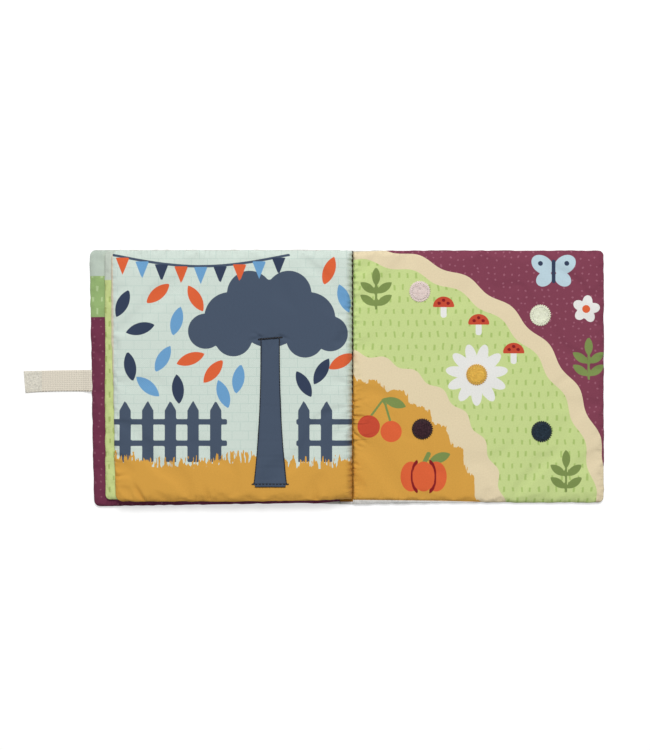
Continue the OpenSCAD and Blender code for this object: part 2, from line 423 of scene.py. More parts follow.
@dataclass(frozen=True)
class CottonWeave:
    """Plain-weave cotton: matt and faintly napped, with threads drawn a little coarse so that they show."""

    thread_mm: float = 0.8
    thread_relief: Point = (0.3, 0.12)
    thread_shade: float = 0.025
    slub_per_mm: float = 0.9
    dye_range: Point = (0.95, 1.05)
    fold_mm: Point = (34.0, 8.0)
    fold_width: float = 0.06
    fold_relief: Point = (0.8, 0.9)
    # painted shade: how much a fold's groove darkens the colour
    painted_fold_shade: float = 0.3
    # painted shade: how much the third pull value darkens the colour along the seams
    painted_seam_shade: float = 0.42

    def finish(self, graph: Graph, colour: Any, flat: Node) -> None:
        """Adds the weave, the folds that the seams draw, painted shade in the folds' grooves and along the
        seams, uneven dye and the shader to a material.

        Args:
            graph: The material being written.
            colour: The cloth's colour, or the socket that gives it.
            flat: The place on the flat cloth, in millimetres.
        """
        add = graph.add
        pull = add("ShaderNodeAttribute", attribute_name=PULL_AND_SHADE).outputs["Vector"]
        pulls_and_shade = add("ShaderNodeSeparateXYZ", {0: pull}).outputs
        sunk: Any = 0.0
        long, short = (1 / size for size in self.fold_mm)
        for axis, stretch in enumerate(((long, short, 0.0), (short, long, 0.0))):
            place = add(VECTOR_MATH, {0: flat, 1: stretch}, operation="MULTIPLY")
            grain = {"Vector": place, "Scale": 1.0, "Detail": 1.5}
            folds = add(NOISE, grain, noise_dimensions="2D")
            fold = add(MATH, {0: folds, 1: 0.5}, operation="SUBTRACT")
            depth = add(MATH, {0: fold}, operation="ABSOLUTE")
            groove = add(MAP_RANGE, {0: depth, 1: 0.0, 2: self.fold_width, 3: 1.0, 4: 0.0})
            sunk = add(MATH, {0: groove, 1: pulls_and_shade[axis], 2: sunk}, operation="MULTIPLY_ADD")
        strength, deep = self.fold_relief
        relief = {"Height": sunk, "Strength": strength, "Distance": deep * MM}
        drawn = add("ShaderNodeBump", relief, invert=True)
        turn = math.pi / self.thread_mm
        turns = add(VECTOR_MATH, {0: flat, 1: (turn, turn, 0.0)}, operation="MULTIPLY")
        waves = add(VECTOR_MATH, {0: turns}, operation="SINE")
        split = add("ShaderNodeSeparateXYZ", {0: waves}).outputs
        weave = add(MATH, {0: split[0], 1: split[1]}, operation="MULTIPLY")
        grain = {"Vector": flat, "Scale": self.slub_per_mm, "Detail": 4.0, "Roughness": 0.6}
        slub = add(NOISE, grain, noise_dimensions="2D")
        height = add(MATH, {0: slub, 1: 0.9, 2: weave}, operation="MULTIPLY_ADD")
        pale, deep_dye = self.dye_range
        shade = add(MAP_RANGE, {0: slub, 1: 0.25, 2: 0.75, 3: pale, 4: deep_dye})
        shares = (weave, self.thread_shade), (sunk, -self.painted_fold_shade), (pulls_and_shade[2], -self.painted_seam_shade)
        for source, share in shares:
            shade = add(MATH, {0: source, 1: share, 2: shade}, operation="MULTIPLY_ADD")
        matt = {"Roughness": 0.82, "Specular IOR Level": 0.15, "Sheen Weight": 0.03, "Sheen Roughness": 0.5}
        finish_fibre(graph, colour, shade, height, self.thread_relief, matt, drawn)


class Pattern(Enum):
    """Small repeating prints inside one ink's area."""

    PLAIN = "plain"
    BRICKS = "bricks"
    DOTS = "dots"
    DASHES = "dashes"


@dataclass(frozen=True)
class PrintLayer:
    """One ink's area on a printed cloth, with the small pattern inside it."""

    ink: Ink
    area: Field | None = None
    pattern: Pattern = Pattern.PLAIN
    pattern_ink: Ink = Ink.WHITE
    fringe_mm: float = 0.0


@dataclass(frozen=True)
class PrintedCotton:
    """Cotton with pigment print: crisp areas of ink, some with a small pattern or a ragged fringe."""

    name: str
    layers: tuple[PrintLayer, ...]
    weave: CottonWeave = CottonWeave()
    edge_mm: float = 0.14
    brick_mm: Point = (13.0, 7.2)
    brick_line_mm: float = 0.42
    dot_pitch_mm: float = 6.2
    dot_mm: float = 0.75
    dash_mm: Point = (7.0, 9.5)
    dash_gap_mm: float = 3.1
    stray_mm: Point = (2.6, 4.0)
    stray_per_mm: float = 0.09
    fringe_pitch_mm: float = 3.4
    fringe_per_mm: float = 0.06

    def attribute(self, index: int) -> str:
        """Names the mesh attribute that holds a layer's signed distance."""
        return f"{self.name}_ink_{index}"

    def mark(self, mesh: Mesh, flat: Flat) -> None:
        """Writes each layer's signed distance on a mesh.

        Args:
            mesh: The cloth's mesh.
            flat: The places of its points on the flat cloth, in millimetres.
        """
        for index, layer in enumerate(self.layers):
            if layer.area is not None:
                distances = np.asarray(layer.area(flat), np.float32)
                marks = mesh.attributes.new(self.attribute(index), "FLOAT", "POINT").data
                marks.foreach_set("value", distances)

    def pattern_mask(self, graph: Graph, flat: Node, pattern: Pattern) -> Any:
        """Adds the nodes of a small pattern.

        Args:
            graph: The material being written.
            flat: The place on the flat cloth, in millimetres.
            pattern: The pattern to draw.

        Returns:
            A mask that is 1 where the pattern's own ink lies.
        """
        add = graph.add
        if pattern is Pattern.BRICKS:
            place, line, (wide, tall) = flat, self.brick_line_mm / 2, self.brick_mm
        else:
            grain = {"Vector": flat, "Scale": self.stray_per_mm, "Detail": 1.0}
            hand = add(NOISE, grain, noise_dimensions="2D").outputs["Color"]
            shift = add(VECTOR_MATH, {0: hand, 1: (-0.5, -0.5, -0.5)}, operation="ADD")
            stray = {0: shift, 1: (*self.stray_mm, 0.0), 2: flat}
            place = add(VECTOR_MATH, stray, operation="MULTIPLY_ADD")
            line, (wide, tall) = self.dash_gap_mm, self.dash_mm
        if pattern is Pattern.DOTS:
            spread = {"Vector": place, "Scale": 1 / self.dot_pitch_mm, "Randomness": 0.55}
            cells = add("ShaderNodeTexVoronoi", spread, voronoi_dimensions="2D")
            radius, soft = self.dot_mm / self.dot_pitch_mm, self.edge_mm / self.dot_pitch_mm
            return add(MAP_RANGE, {0: cells, 1: radius + soft, 2: radius - soft, 3: 0.0, 4: 1.0})
        bricks = {"Vector": place, "Scale": 1.0, "Mortar Size": line, "Brick Width": wide, "Row Height": tall}
        joints = add("ShaderNodeTexBrick", bricks | {"Mortar Smooth": 0.25}, offset=0.5).outputs["Fac"]
        if pattern is Pattern.BRICKS:
            return joints
        return add(MATH, {0: 1.0, 1: joints}, operation="SUBTRACT")

    def layer_mask(self, graph: Graph, flat: Node, index: int) -> Node:
        """Adds the nodes that turn a layer's signed distance into its crisp area.

        Args:
            graph: The material being written.
            flat: The place on the flat cloth, in millimetres.
            index: The layer's number.

        Returns:
            A mask that is 1 inside the layer's area.
        """
        add = graph.add
        fringe = self.layers[index].fringe_mm
        distance = add("ShaderNodeAttribute", attribute_name=self.attribute(index)).outputs["Fac"]
        if fringe:
            stretch = (1 / self.fringe_pitch_mm, self.fringe_per_mm, 1.0)
            place = add(VECTOR_MATH, {0: flat, 1: stretch}, operation="MULTIPLY")
            grain = {"Vector": place, "Scale": 1.0, "Detail": 2.0, "Roughness": 0.7}
            blades = add(NOISE, grain, noise_dimensions="2D")
            spread = add(MAP_RANGE, {0: blades, 1: 0.35, 2: 0.65, 3: -fringe, 4: fringe})
            distance = add(MATH, {0: distance, 1: spread}, operation="ADD")
        return add(MAP_RANGE, {0: distance, 1: -self.edge_mm, 2: self.edge_mm, 3: 0.0, 4: 1.0})

    def material(self) -> Material:
        """Writes the printed cloth's material.

        Returns:
            The finished material.
        """
        graph = Graph(self.name)
        flat = graph.add("ShaderNodeUVMap", uv_map=FLAT_MAP)
        colour: Any = linear(self.layers[0].ink)
        for index, layer in enumerate(self.layers):
            own: Any = linear(layer.ink)
            if layer.pattern is not Pattern.PLAIN:
                mask = self.pattern_mask(graph, flat, layer.pattern)
                inks = {0: mask, 6: own, 7: linear(layer.pattern_ink)}
                own = graph.add("ShaderNodeMix", inks, data_type="RGBA").outputs[2]
            if layer.area is None:
                colour = own
                continue
            mask = self.layer_mask(graph, flat, index)
            colour = graph.add("ShaderNodeMix", {0: mask, 6: colour, 7: own}, data_type="RGBA").outputs[2]
        self.weave.finish(graph, colour, flat)
        return graph.material


@dataclass(frozen=True)
class PlainCotton:
    """Dyed cotton without print."""

    name: str
    ink: Ink
    weave: CottonWeave = CottonWeave()

    def material(self) -> Material:
        """Writes the plain cloth's material."""
        graph = Graph(self.name)
        self.weave.finish(graph, linear(self.ink), graph.add("ShaderNodeUVMap", uv_map=FLAT_MAP))
        return graph.material


@dataclass(frozen=True)
class WovenTape:
    """Natural cotton webbing: thick soft yarns, drawn coarse so that they show, flecked with darker fibre."""

    name: str
    ink: Ink
    yarn_mm: Point = (1.9, 1.6)
    fleck_per_mm: float = 1.3
    tones: Point = (0.72, 1.02)
    yarn_shade: float = 0.09
    relief: Point = (0.6, 0.25)

    def material(self) -> Material:
        """Writes the tape's material."""
        graph = Graph(self.name)
        add = graph.add
        flat = add("ShaderNodeUVMap", uv_map=FLAT_MAP)
        turn = (*(math.pi / size for size in self.yarn_mm), 0.0)
        turns = add(VECTOR_MATH, {0: flat, 1: turn}, operation="MULTIPLY")
        waves = add(VECTOR_MATH, {0: turns}, operation="SINE")
        yarns = add(VECTOR_MATH, {0: waves}, operation="ABSOLUTE")
        split = add("ShaderNodeSeparateXYZ", {0: yarns}).outputs
        weave = add(MATH, {0: split[0], 1: split[1]}, operation="ADD")
        grain = {"Vector": flat, "Scale": self.fleck_per_mm, "Detail": 5.0, "Roughness": 0.7}
        fleck = add(NOISE, grain, noise_dimensions="2D")
        tone = add(MAP_RANGE, {0: fleck, 1: 0.3, 2: 0.7, 3: self.tones[0], 4: self.tones[1]})
        shade = add(MATH, {0: weave, 1: self.yarn_shade, 2: tone}, operation="MULTIPLY_ADD")
        height = add(MATH, {0: fleck, 1: 0.8, 2: weave}, operation="MULTIPLY_ADD")
        matt = {"Roughness": 0.9, "Specular IOR Level": 0.2, "Sheen Weight": 0.1, "Sheen Roughness": 0.5}
        finish_fibre(graph, linear(self.ink), shade, height, self.relief, matt)
        return graph.material


def fibre_material(
    name: str, ink: Ink, grain_mm: float, noise: dict[str, float], tones: Point, relief: Point,
    shader: dict[str, float],
) -> Material:
    """Writes the material of fine filaments, whose brightness and relief change from grain to grain.

    Args:
        name: The material's name.
        ink: Its dye.
        grain_mm: Size of a grain.
        noise: Further settings of the grain.
        tones: The least and the greatest brightness.
        relief: The relief's strength, and its depth in millimetres.
        shader: Values for the shader's sockets.

    Returns:
        The finished material.
    """
    graph = Graph(name)
    place = graph.add("ShaderNodeTexCoord").outputs["Object"]
    grain = graph.add(NOISE, {"Vector": place, "Scale": 1 / (grain_mm * MM)} | noise)
    tone = graph.add(MAP_RANGE, {0: grain, 1: 0.3, 2: 0.7, 3: tones[0], 4: tones[1]})
    finish_fibre(graph, linear(ink), tone, grain, relief, shader)
    return graph.material


@dataclass(frozen=True)
class GripPile:
    """Nylon hook-and-loop face: a mat of fine looped filament that scatters light unevenly."""

    name: str
    ink: Ink
    filament_mm: float = 0.9
    tones: Point = (0.78, 1.18)
    relief: Point = (0.45, 0.2)

    def material(self) -> Material:
        """Writes the pile's material."""
        noise = {"Detail": 4.0, "Roughness": 0.7}
        soft = {"Roughness": 0.55, "Specular IOR Level": 0.12, "Sheen Weight": 0.03, "Sheen Roughness": 0.4}
        return fibre_material(self.name, self.ink, self.filament_mm, noise, self.tones, self.relief, soft)


@dataclass(frozen=True)
class Thread:
    """Spun polyester sewing thread: a soft gloss broken by its twist."""

    name: str
    ink: Ink
    shade: float = 1.0
    twist_mm: float = 0.5
    relief: Point = (0.4, 0.08)

    def material(self) -> Material:
        """Writes the thread's material."""
        tones = (0.85 * self.shade, 1.12 * self.shade)
        gloss = {"Roughness": 0.55}
        return fibre_material(self.name, self.ink, self.twist_mm, {"Detail": 2.0}, tones, self.relief, gloss)


Finish = PrintedCotton | PlainCotton | WovenTape | GripPile | Thread


@functools.cache
def dressed(finish: Finish) -> Material:
    """Gives a finish's material, written once."""
    return finish.material()


# Mesh helpers


def new_piece(name: str, mesh: Mesh, *materials: Material) -> Object:
    """Links a mesh into the scene as a smooth-shaded piece.

    Args:
        name: The piece's name.
        mesh: Its finished mesh.
        materials: Its materials, in slot order.

    Returns:
        The new object.
    """
    piece = bpy.data.objects.new(name, mesh)
    bpy.context.scene.collection.objects.link(piece)
    for material in materials:
        mesh.materials.append(material)
    mesh.shade_smooth()
    return piece


def fix(piece: Object, body: str, slot: str, node: str | None = None) -> Object:
    """Fixes a piece to the body that it moves with and reports it.

    Args:
        piece: The finished piece.
        body: The body that it rides on.
        slot: Not used.
        node: The solid that it stands for, where it does.

    Returns:
        The piece.
    """
    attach(piece, body)
    if node is not None:
        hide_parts(node)
    log.info("%s: %d faces", piece.name, len(piece.data.polygons))
    return piece


def shell_flat(flat: Array) -> Flat:
    """Lists a grid's places on the flat cloth in the order of a shell's points."""
    places = np.concatenate([flat.reshape(-1, 2), flat[1:-1, 1:-1].reshape(-1, 2)])
    return places[:, 0], places[:, 1]


def shell_mesh(
    name: str, upper: Array, lower: Array, flat: Array | None = None,
    sides: Sequence[int] | Array = (0, 0),
) -> Mesh:
    """Joins an upper and a lower grid of points at their rims into one closed mesh.

    Args:
        name: The mesh's name.
        upper: Rows and columns of upper points in millimetres; rows run down Y, columns up X.
        lower: The lower points, whose rim is the upper one's.
        flat: Where given, the points' places on the flat cloth, for a UV map in millimetres.
        sides: The material numbers of the upper and the lower side, or of every face.

    Returns:
        The mesh, with the upper points and faces first.
    """
    rows, columns = upper.shape[:2]
    top = np.arange(rows * columns).reshape(rows, columns)
    under = top.copy()
    inner = (rows - 2) * (columns - 2)
    under[1:-1, 1:-1] = rows * columns + np.arange(inner).reshape(rows - 2, columns - 2)
    points = np.concatenate([upper.reshape(-1, 3), lower[1:-1, 1:-1].reshape(-1, 3)]) * MM

    def quads(grid: Array) -> Array:
        """Lists a grid's faces, seen from above."""
        corners = [grid[:-1, :-1], grid[1:, :-1], grid[1:, 1:], grid[:-1, 1:]]
        return np.stack([corner.ravel() for corner in corners], 1)

    faces = np.concatenate([quads(top), quads(under)[:, ::-1]])
    mesh = bpy.data.meshes.new(name)
    mesh.from_pydata(points.tolist(), [], faces.tolist())
    numbers = np.asarray(sides, np.int32).ravel()
    mesh.polygons.foreach_set("material_index", np.repeat(numbers, len(faces) // len(numbers)))
    if flat is not None:
        corners = faces.ravel()
        places = np.stack([axis[corners] for axis in shell_flat(flat)], 1)
        mesh.uv_layers.new(name=FLAT_MAP).uv.foreach_set("vector", places.astype(np.float32).ravel())
    return mesh


def shell_points(mesh: Mesh, rows: int, columns: int) -> Grids:
    """Reads a closed shell's points back as an upper and a lower grid in millimetres."""
    points = np.empty(len(mesh.vertices) * 3)
    mesh.vertices.foreach_get("co", points)
    points = points.reshape(-1, 3) / MM
    upper = points[:rows * columns].reshape(rows, columns, 3)
    lower = upper.copy()
    lower[1:-1, 1:-1] = points[rows * columns:].reshape(rows - 2, columns - 2, 3)
    return upper, lower


def refined(grid: Array, axes: Sequence[int] = (0, 1)) -> Array:
    """Puts a smooth point between every two points of a grid, along the chosen directions."""
    for axis in axes:
        lines = np.moveaxis(grid, axis, 0)
        before = np.concatenate([2 * lines[:1] - lines[1:2], lines[:-2]])
        after = np.concatenate([lines[2:], 2 * lines[-1:] - lines[-2:-1]])
        fine = np.empty((2 * len(lines) - 1, *lines.shape[1:]))
        fine[0::2] = lines
        fine[1::2] = (9 * (lines[:-1] + lines[1:]) - before - after) / 16
        grid = np.moveaxis(fine, 0, axis)
    return grid


def rim_of(grid: Array) -> Array:
    """Marks the outermost points of a grid."""
    rim = np.ones(grid.shape[:2], bool)
    rim[1:-1, 1:-1] = False
    return rim


def surface_tree(piece: Object) -> BVHTree:
    """Gives a search tree of a piece's faces, in metres."""
    mesh = piece.data
    return BVHTree.FromPolygons([v.co for v in mesh.vertices], [list(p.vertices) for p in mesh.polygons])


def height_on(tree: BVHTree, x: float, y: float) -> float:
    """Gives the height of the topmost surface at a place, or 0 where there is none, in millimetres."""
    hit = tree.ray_cast(Vector((x * MM, y * MM, 1.0)), Vector((0, 0, -1)))
    return hit[0].z / MM if hit[0] is not None else 0.0


# Padded covers and leaves


@dataclass(frozen=True)
class Gutter:
    """Section of the stack across the spine, in millimetres."""

    spine_half: float
    spine_t: float
    cover_t: float
    leaf_t: float
    first_sewn: float
    second_sewn: float
    seam_t: float = 1.2
    roll: float = 11.0
    back_roll: float = 2.2
    second_roll: float = 6.0
    gap: float = 0.2

    def cover_depth(self, x: Array, roll: float | None = None) -> Array:
        """Gives a cover's thickness, on either side of the spine.

        Args:
            x: Places across the book.
            roll: Width of its fall to the spine, where it isn't the usual one.

        Returns:
            The thickness at each place.
        """
        share = (np.abs(x) - self.spine_half) / (roll or self.roll)
        rise = round_rise(share) if roll else ease(share)
        return self.spine_t + (self.cover_t - self.spine_t) * rise

    def leaf_depth(self, x: Array, sewn: float) -> Array:
        """Gives a leaf's thickness."""
        return self.seam_t + (self.leaf_t - self.seam_t) * ease((sewn - x) / self.roll)

    def first_base(self, x: Array) -> Array:
        """Gives the height of the first leaf's lower face."""
        return np.where(x > -self.spine_half, self.spine_t, self.cover_depth(x)) + self.gap

    def second_base(self, x: Array) -> Array:
        """Gives the height of the second leaf's lower face."""
        first_top = self.first_base(x) + self.leaf_depth(x, self.first_sewn)
        return np.where(x > self.first_sewn, self.spine_t, first_top) + self.gap

    def second_depth(self, x: Array) -> Array:
        """Gives the second leaf's thickness, which fills the fall of the layers below it up to its seam."""
        low = self.spine_t + self.gap + self.seam_t
        high = self.cover_t + 2 * (self.leaf_t + self.gap)
        rise = round_rise((self.second_sewn - x) / self.second_roll)
        return low + (high - low) * rise - self.second_base(x)


@dataclass(frozen=True)
class Crease:
    """A short pucker in a padded cloth: a groove from a start along an angle, in millimetres and degrees."""

    start: Point
    angle: float
    length: float
    depth: float
    width: float = 1.7

    def sink(self, at: Flat) -> Array:
        """Gives how far the pucker draws the cloth down, with a low shoulder on either side."""
        along, across = turned(at, self.start, self.angle)
        share = along / self.length
        fade = np.clip(1 - share, 0, 1) * np.clip(1 + 4 * share, 0, 1)
        shoulder = 0.35 * near(np.abs(across) - 2.6 * self.width, self.width)
        return self.depth * fade * (near(across, self.width) - shoulder)


@dataclass(frozen=True)
class Wadding:
    """How a panel's two cloths swell: a cloth simulation whose crown is capped and whose puckers are kept."""

    pressure: float = 2.0
    growth: float = 0.012
    tension: float = 15.0
    bending: float = 8.0
    mass: float = 0.2
    quality: int = 6
    frames: int = 20
    crown_mm: float = 0.35
    pucker_cap: float = 1.2
    blur_passes: int = 30

    def simulated(self, name: str, upper: Array, lower: Array) -> Grids:
        """Blows the two cloths up between their held seams.

        Args:
            name: The panel's name.
            upper: The upper grid before the cloth swells.
            lower: The lower grid before the cloth swells.

        Returns:
            The heights that the upper and the lower grid moved by.
        """
        piece = new_piece(f"{name}_cloth", shell_mesh(f"{name}_cloth", upper, lower))
        seam = piece.vertex_groups.new(name="seam")
        seam.add(np.flatnonzero(rim_of(upper)).tolist(), 1.0, "REPLACE")
        cloth = piece.modifiers.new("cloth", "CLOTH")
        fabric = {
            "quality": self.quality, "mass": self.mass, "vertex_group_mass": "seam",
            "tension_stiffness": self.tension, "compression_stiffness": self.tension,
            "shear_stiffness": self.tension / 2, "bending_stiffness": self.bending,
            "shrink_min": -self.growth, "use_pressure": True, "uniform_pressure_force": self.pressure,
        }
        for setting, value in fabric.items():
            setattr(cloth.settings, setting, value)
        cloth.settings.effector_weights.gravity = 0
        cloth.collision_settings.use_self_collision = False
        cloth.point_cache.frame_end = self.frames
        for step in range(1, self.frames + 1):
            bpy.context.scene.frame_set(step)
        graph = bpy.context.evaluated_depsgraph_get()
        result = bpy.data.meshes.new_from_object(piece.evaluated_get(graph))
        full_upper, full_lower = shell_points(result, *upper.shape[:2])
        bpy.data.objects.remove(piece)
        bpy.data.meshes.remove(result)
        bpy.context.scene.frame_set(1)
        return full_upper[..., 2] - upper[..., 2], full_lower[..., 2] - lower[..., 2]

    def split(self, moved: Array) -> Grids:
        """Parts the swelling into its broad crown and the puckers on it.

        Args:
            moved: The heights that a grid moved by.

        Returns:
            The crown, from -1 to 1, and the puckers in millimetres.
        """
        crown = moved.copy()
        for _ in range(self.blur_passes):
            wide = np.pad(crown, 1, mode="edge")
            crown = (wide[:-2, 1:-1] + wide[2:, 1:-1] + wide[1:-1, :-2] + wide[1:-1, 2:] + 4 * crown) / 8
        puckers = self.pucker_cap * np.tanh((moved - crown) / self.pucker_cap)
        return crown / np.abs(crown).max(), puckers

    def swell(self, name: str, upper: Array, lower: Array) -> Grids:
        """Gives the swollen panel; its lower cloth only puckers inwards, as it lies on something.

        Args:
            name: The panel's name.
            upper: The upper grid before the cloth swells.
            lower: The lower grid before the cloth swells.

        Returns:
            The swollen upper and lower grids.
        """
        moved_up, moved_down = self.simulated(name, upper, lower)
        log.info("%s swelled by up to %.1f mm before its cap", name, np.abs(moved_up).max())
        crown, puckers = self.split(moved_up)
        swollen_upper, swollen_lower = upper.copy(), lower.copy()
        swollen_upper[..., 2] += self.crown_mm * crown + puckers
        swollen_lower[..., 2] += np.maximum(self.split(moved_down)[1], 0)
        return swollen_upper, swollen_lower


@dataclass
class PaddedPanel:
    """A padded cloth panel: two printed cloths sewn round their rim with wadding between them.

    A gather's numbers are its depth, the pitch of its folds and its reach from the seam, a drift's its size
    in radians and its pitch, and a pull's or a painted seam shade's its strength and its reach.
    """

    name: str
    body: str
    node: str
    slot: str
    outer_x: float
    spine_x: float
    height: float
    base: Profile
    depth: Profile
    upper: PrintedCotton
    lower: PlainCotton
    lean: float = 0.0
    drop: float = 0.0
    fill: float = 0.55
    creases: tuple[Crease, ...] = ()
    seed: int = SEED
    cell: float = 2.9
    rim_steps: tuple[float, ...] = (0, 0.35, 1.0, 2.0, 3.4, 5.2, 7.6)
    wadding: Wadding = Wadding()
    edge_roll: float = 7.0
    seam_roll: float = 2.0
    corner_r: float = 6.5
    corner_reach: float = 4.0
    rim_wave: float = 0.3
    rim_wave_pitch: float = 4.5
    rim_wave_reach: float = 5.0
    head_rise: float = 0.0
    head_reach: float = 40.0
    foot_reach: float = 14.0
    belly: float = 0.0
    belly_y: float = 42.0
    belly_reach: float = 40.0
    hollow: float = 0.4
    hollow_pitch: Point = (38.0, 17.0)
    rim_gather: Triple = (0.8, 5.5, 5.0)
    rim_scallop: Triple = (0.45, 5.2, 2.6)
    spine_gather: Triple = (1.1, 4.9, 4.5)
    gather_patch: float = 31.0
    spine_patch: float = 13.0
    rim_drift: Point = (2.0, 19.0)
    spine_drift: Point = (2.5, 17.0)
    thin: float = 3.0
    sink_cap: float = 0.75
    pull_patch: float = 23.0
    spine_pull: Point = (0.35, 7.0)
    outer_pull: Point = (0.28, 5.0)
    end_pull: Point = (0.4, 6.0)
    # painted shade along the foot seam and the outer seam: strength and reach
    painted_foot_shade: Point = (0.9, 1.6)
    painted_outer_shade: Point = (0.4, 0.9)
    scallop: float = 0.0
    scallop_reach: float = 3.0
    hem_groove: float = 0.9
    hem_groove_w: float = 0.8
    recess_depth: float = 0.8
    headroom: float = 0.42
    knot: float = 0.0
    knot_y: float = -38.0
    knot_reach: float = 22.0
    hem: Profile | None = None
    foot_shift: Profile | None = None
    recess: Field | None = None
    piece: Object | None = None

    def stations(self, length: float) -> Array:
        """Gives the places of the cloth's grid along one of its lengths, closest at both rims."""
        steps = np.array(self.rim_steps)
        count = round((length - 2 * steps[-1]) / self.cell)
        middle = np.linspace(steps[-1], length - steps[-1], count + 1)
        return np.concatenate([steps[:-1], middle, (length - steps[:-1])[::-1]])

    def rest_shape(self) -> Grids:
        """Works out the panel before its cloth swells.

        Returns:
            The upper and the lower grid of points, in millimetres.
        """
        width = abs(self.outer_x - self.spine_x)
        x_line = min(self.outer_x, self.spine_x) + self.stations(width)
        x, from_head = np.meshgrid(x_line, self.stations(self.height))
        from_outer = np.abs(x - self.outer_x)
        from_end = np.minimum(from_head, self.height - from_head)
        at_outer = 1 - from_outer / width
        rest = self.corner_r - np.minimum(from_end, self.corner_r)
        inset = self.corner_r - np.sqrt(self.corner_r ** 2 - rest ** 2)
        inward = math.copysign(1, self.spine_x - self.outer_x)
        reach = np.maximum(0, 1 - from_outer / (self.corner_reach * self.corner_r))
        shift = inward * (at_outer * self.lean * from_head / self.height + inset * reach)
        y = self.height / 2 - from_head * (self.height + at_outer * self.drop) / self.height
        shift = shift - inward * at_outer * self.belly * near(y - self.belly_y, self.belly_reach)
        wave = self.rim_wave * wander(y, self.rim_wave_pitch, self.seed + 3)
        shift = shift + wave * np.maximum(0, 1 - from_outer / self.rim_wave_reach)
        wave = self.rim_wave * wander(x, self.rim_wave_pitch, self.seed + 4)
        y = y + wave * np.maximum(0, 1 - from_end / self.rim_wave_reach)
        y = y + self.head_rise * np.maximum(0, 1 - from_head / self.head_reach)
        if self.foot_shift is not None:
            y = y + self.foot_shift(x) * np.maximum(0, 1 - (self.height - from_head) / self.foot_reach)
        full = self.depth(x)
        puff = round_rise(from_outer / self.edge_roll) * round_rise(from_end / self.edge_roll)
        puff = puff * round_rise((np.abs(x - self.spine_x) + 0.05) / self.seam_roll)
        middle = self.base(x) + full / 2
        half = full / 2 * puff
        upper = np.stack([x + shift, y, middle + half], 2)
        lower = np.stack([x + shift, y, middle - half], 2)
        rim = rim_of(upper)
        lower[rim] = upper[rim]
        return upper, lower

    def from_edges(self, at: Flat) -> tuple[Array, ...]:
        """Gives how far places are from the head, the foot, the outer edge and the spine's seam."""
        from_head, from_foot = self.height / 2 - at[1], self.height / 2 + at[1] + self.drop
        from_outer = np.abs(at[0] - self.outer_x) - self.lean * from_head / self.height
        return from_head, from_foot, from_outer, np.abs(at[0] - self.spine_x)

    def settle(self, upper: Array, lower: Array) -> Grids:
        """Draws gathers, soft hollows and puckers into the upper cloth and lays the lower one on its seat.

        Args:
            upper: The swollen upper grid.
            lower: The swollen lower grid.

        Returns:
            The settled upper and lower grids.
        """
        at = (upper[..., 0], upper[..., 1])
        from_head, from_foot, from_outer, from_spine = self.from_edges(at)
        broad, fine = (ripple(at, pitch, self.seed + k) for k, pitch in enumerate(self.hollow_pitch))
        sink = self.hollow * (broad + 0.6 * fine)
        deep, pitch, reach = self.rim_gather
        dent, dent_pitch, dent_reach = self.rim_scallop
        for k, (distance, along) in enumerate([(from_head, at[0]), (from_foot, at[0]), (from_outer, at[1])]):
            gathers = 0.5 + 0.5 * wander(along, pitch, self.seed + 10 + k)
            gathers = gathers * (0.5 + 0.5 * wander(along, self.gather_patch, self.seed + 20 + k))
            drift = self.rim_drift[0] * wander(along, self.rim_drift[1], self.seed + 25 + k)
            scallops = 0.5 + 0.5 * np.cos(2 * np.pi * along / dent_pitch + drift)
            sink = sink + deep * gathers * near(distance, reach)
            sink = sink + dent * scallops * near(distance, dent_reach)
        deep, pitch, reach = self.spine_gather
        drift = self.spine_drift[0] * wander(at[1], self.spine_drift[1], self.seed + 30)
        gathers = 0.5 + 0.5 * np.cos(2 * np.pi * at[1] / pitch + drift)
        gathers = gathers * (0.25 + 0.75 * np.abs(wander(at[1], self.spine_patch, self.seed + 31)))
        sink = sink + deep * gathers * near(from_spine, reach)
        for crease in self.creases:
            sink = sink + crease.sink(at)
        if self.hem is not None:
            seam = self.hem(at[0]) + self.foot_shift(at[0])
            groove = near(at[1] + self.height / 2 - seam, self.hem_groove_w)
            sink = sink + self.hem_groove * ease(seam / 1.5) * groove
        full = upper[..., 2] - lower[..., 2]
        upper, lower = upper.copy(), lower.copy()
        upper[..., 2] -= np.minimum(sink * ease(full / self.thin), self.sink_cap * full)
        seat = self.base(at[0])
        over = np.maximum(upper[..., 2] - seat - self.depth(at[0]), 0)
        upper[..., 2] += self.headroom * np.tanh(over / self.headroom) - over
        if self.recess is not None:
            seat = seat + self.recess_depth * ease(self.recess(at) / 1.2 + 0.5)
        lower[..., 2] = np.minimum(np.maximum(lower[..., 2], seat), upper[..., 2])
        drawn = self.scallop * gathers * near(from_spine, self.scallop_reach)
        drawn = math.copysign(1, self.outer_x - self.spine_x) * drawn
        upper[..., 0] += drawn
        lower[..., 0] += drawn
        return upper, lower

    def pull(self, flat: Flat) -> Array:
        """Works out how strongly the seams gather the cloth, and the shade painted along the foot and outer
        seams.

        Args:
            flat: Places on the flat cloth.

        Returns:
            For each place, the strength of folds across the book, of folds along the spine, and of the shade
            painted along the foot and outer seams.
        """
        from_head, from_foot, from_outer, from_spine = self.from_edges(flat)
        uneven = [0.55 + 0.45 * wander(u, self.pull_patch, self.seed + 60 + k) for k, u in enumerate(flat)]
        knot = self.knot * near(flat[1] - self.knot_y, self.knot_reach)
        pull, wide = self.spine_pull
        across = (pull + (1 - pull) * knot) * near(from_spine, wide + 2 * wide * knot) * uneven[1]
        pull, wide = self.outer_pull
        across = across + pull * near(from_outer, wide) * uneven[1]
        pull, wide = self.end_pull
        along = pull * (near(from_head, wide) + near(from_foot, wide)) * uneven[0]
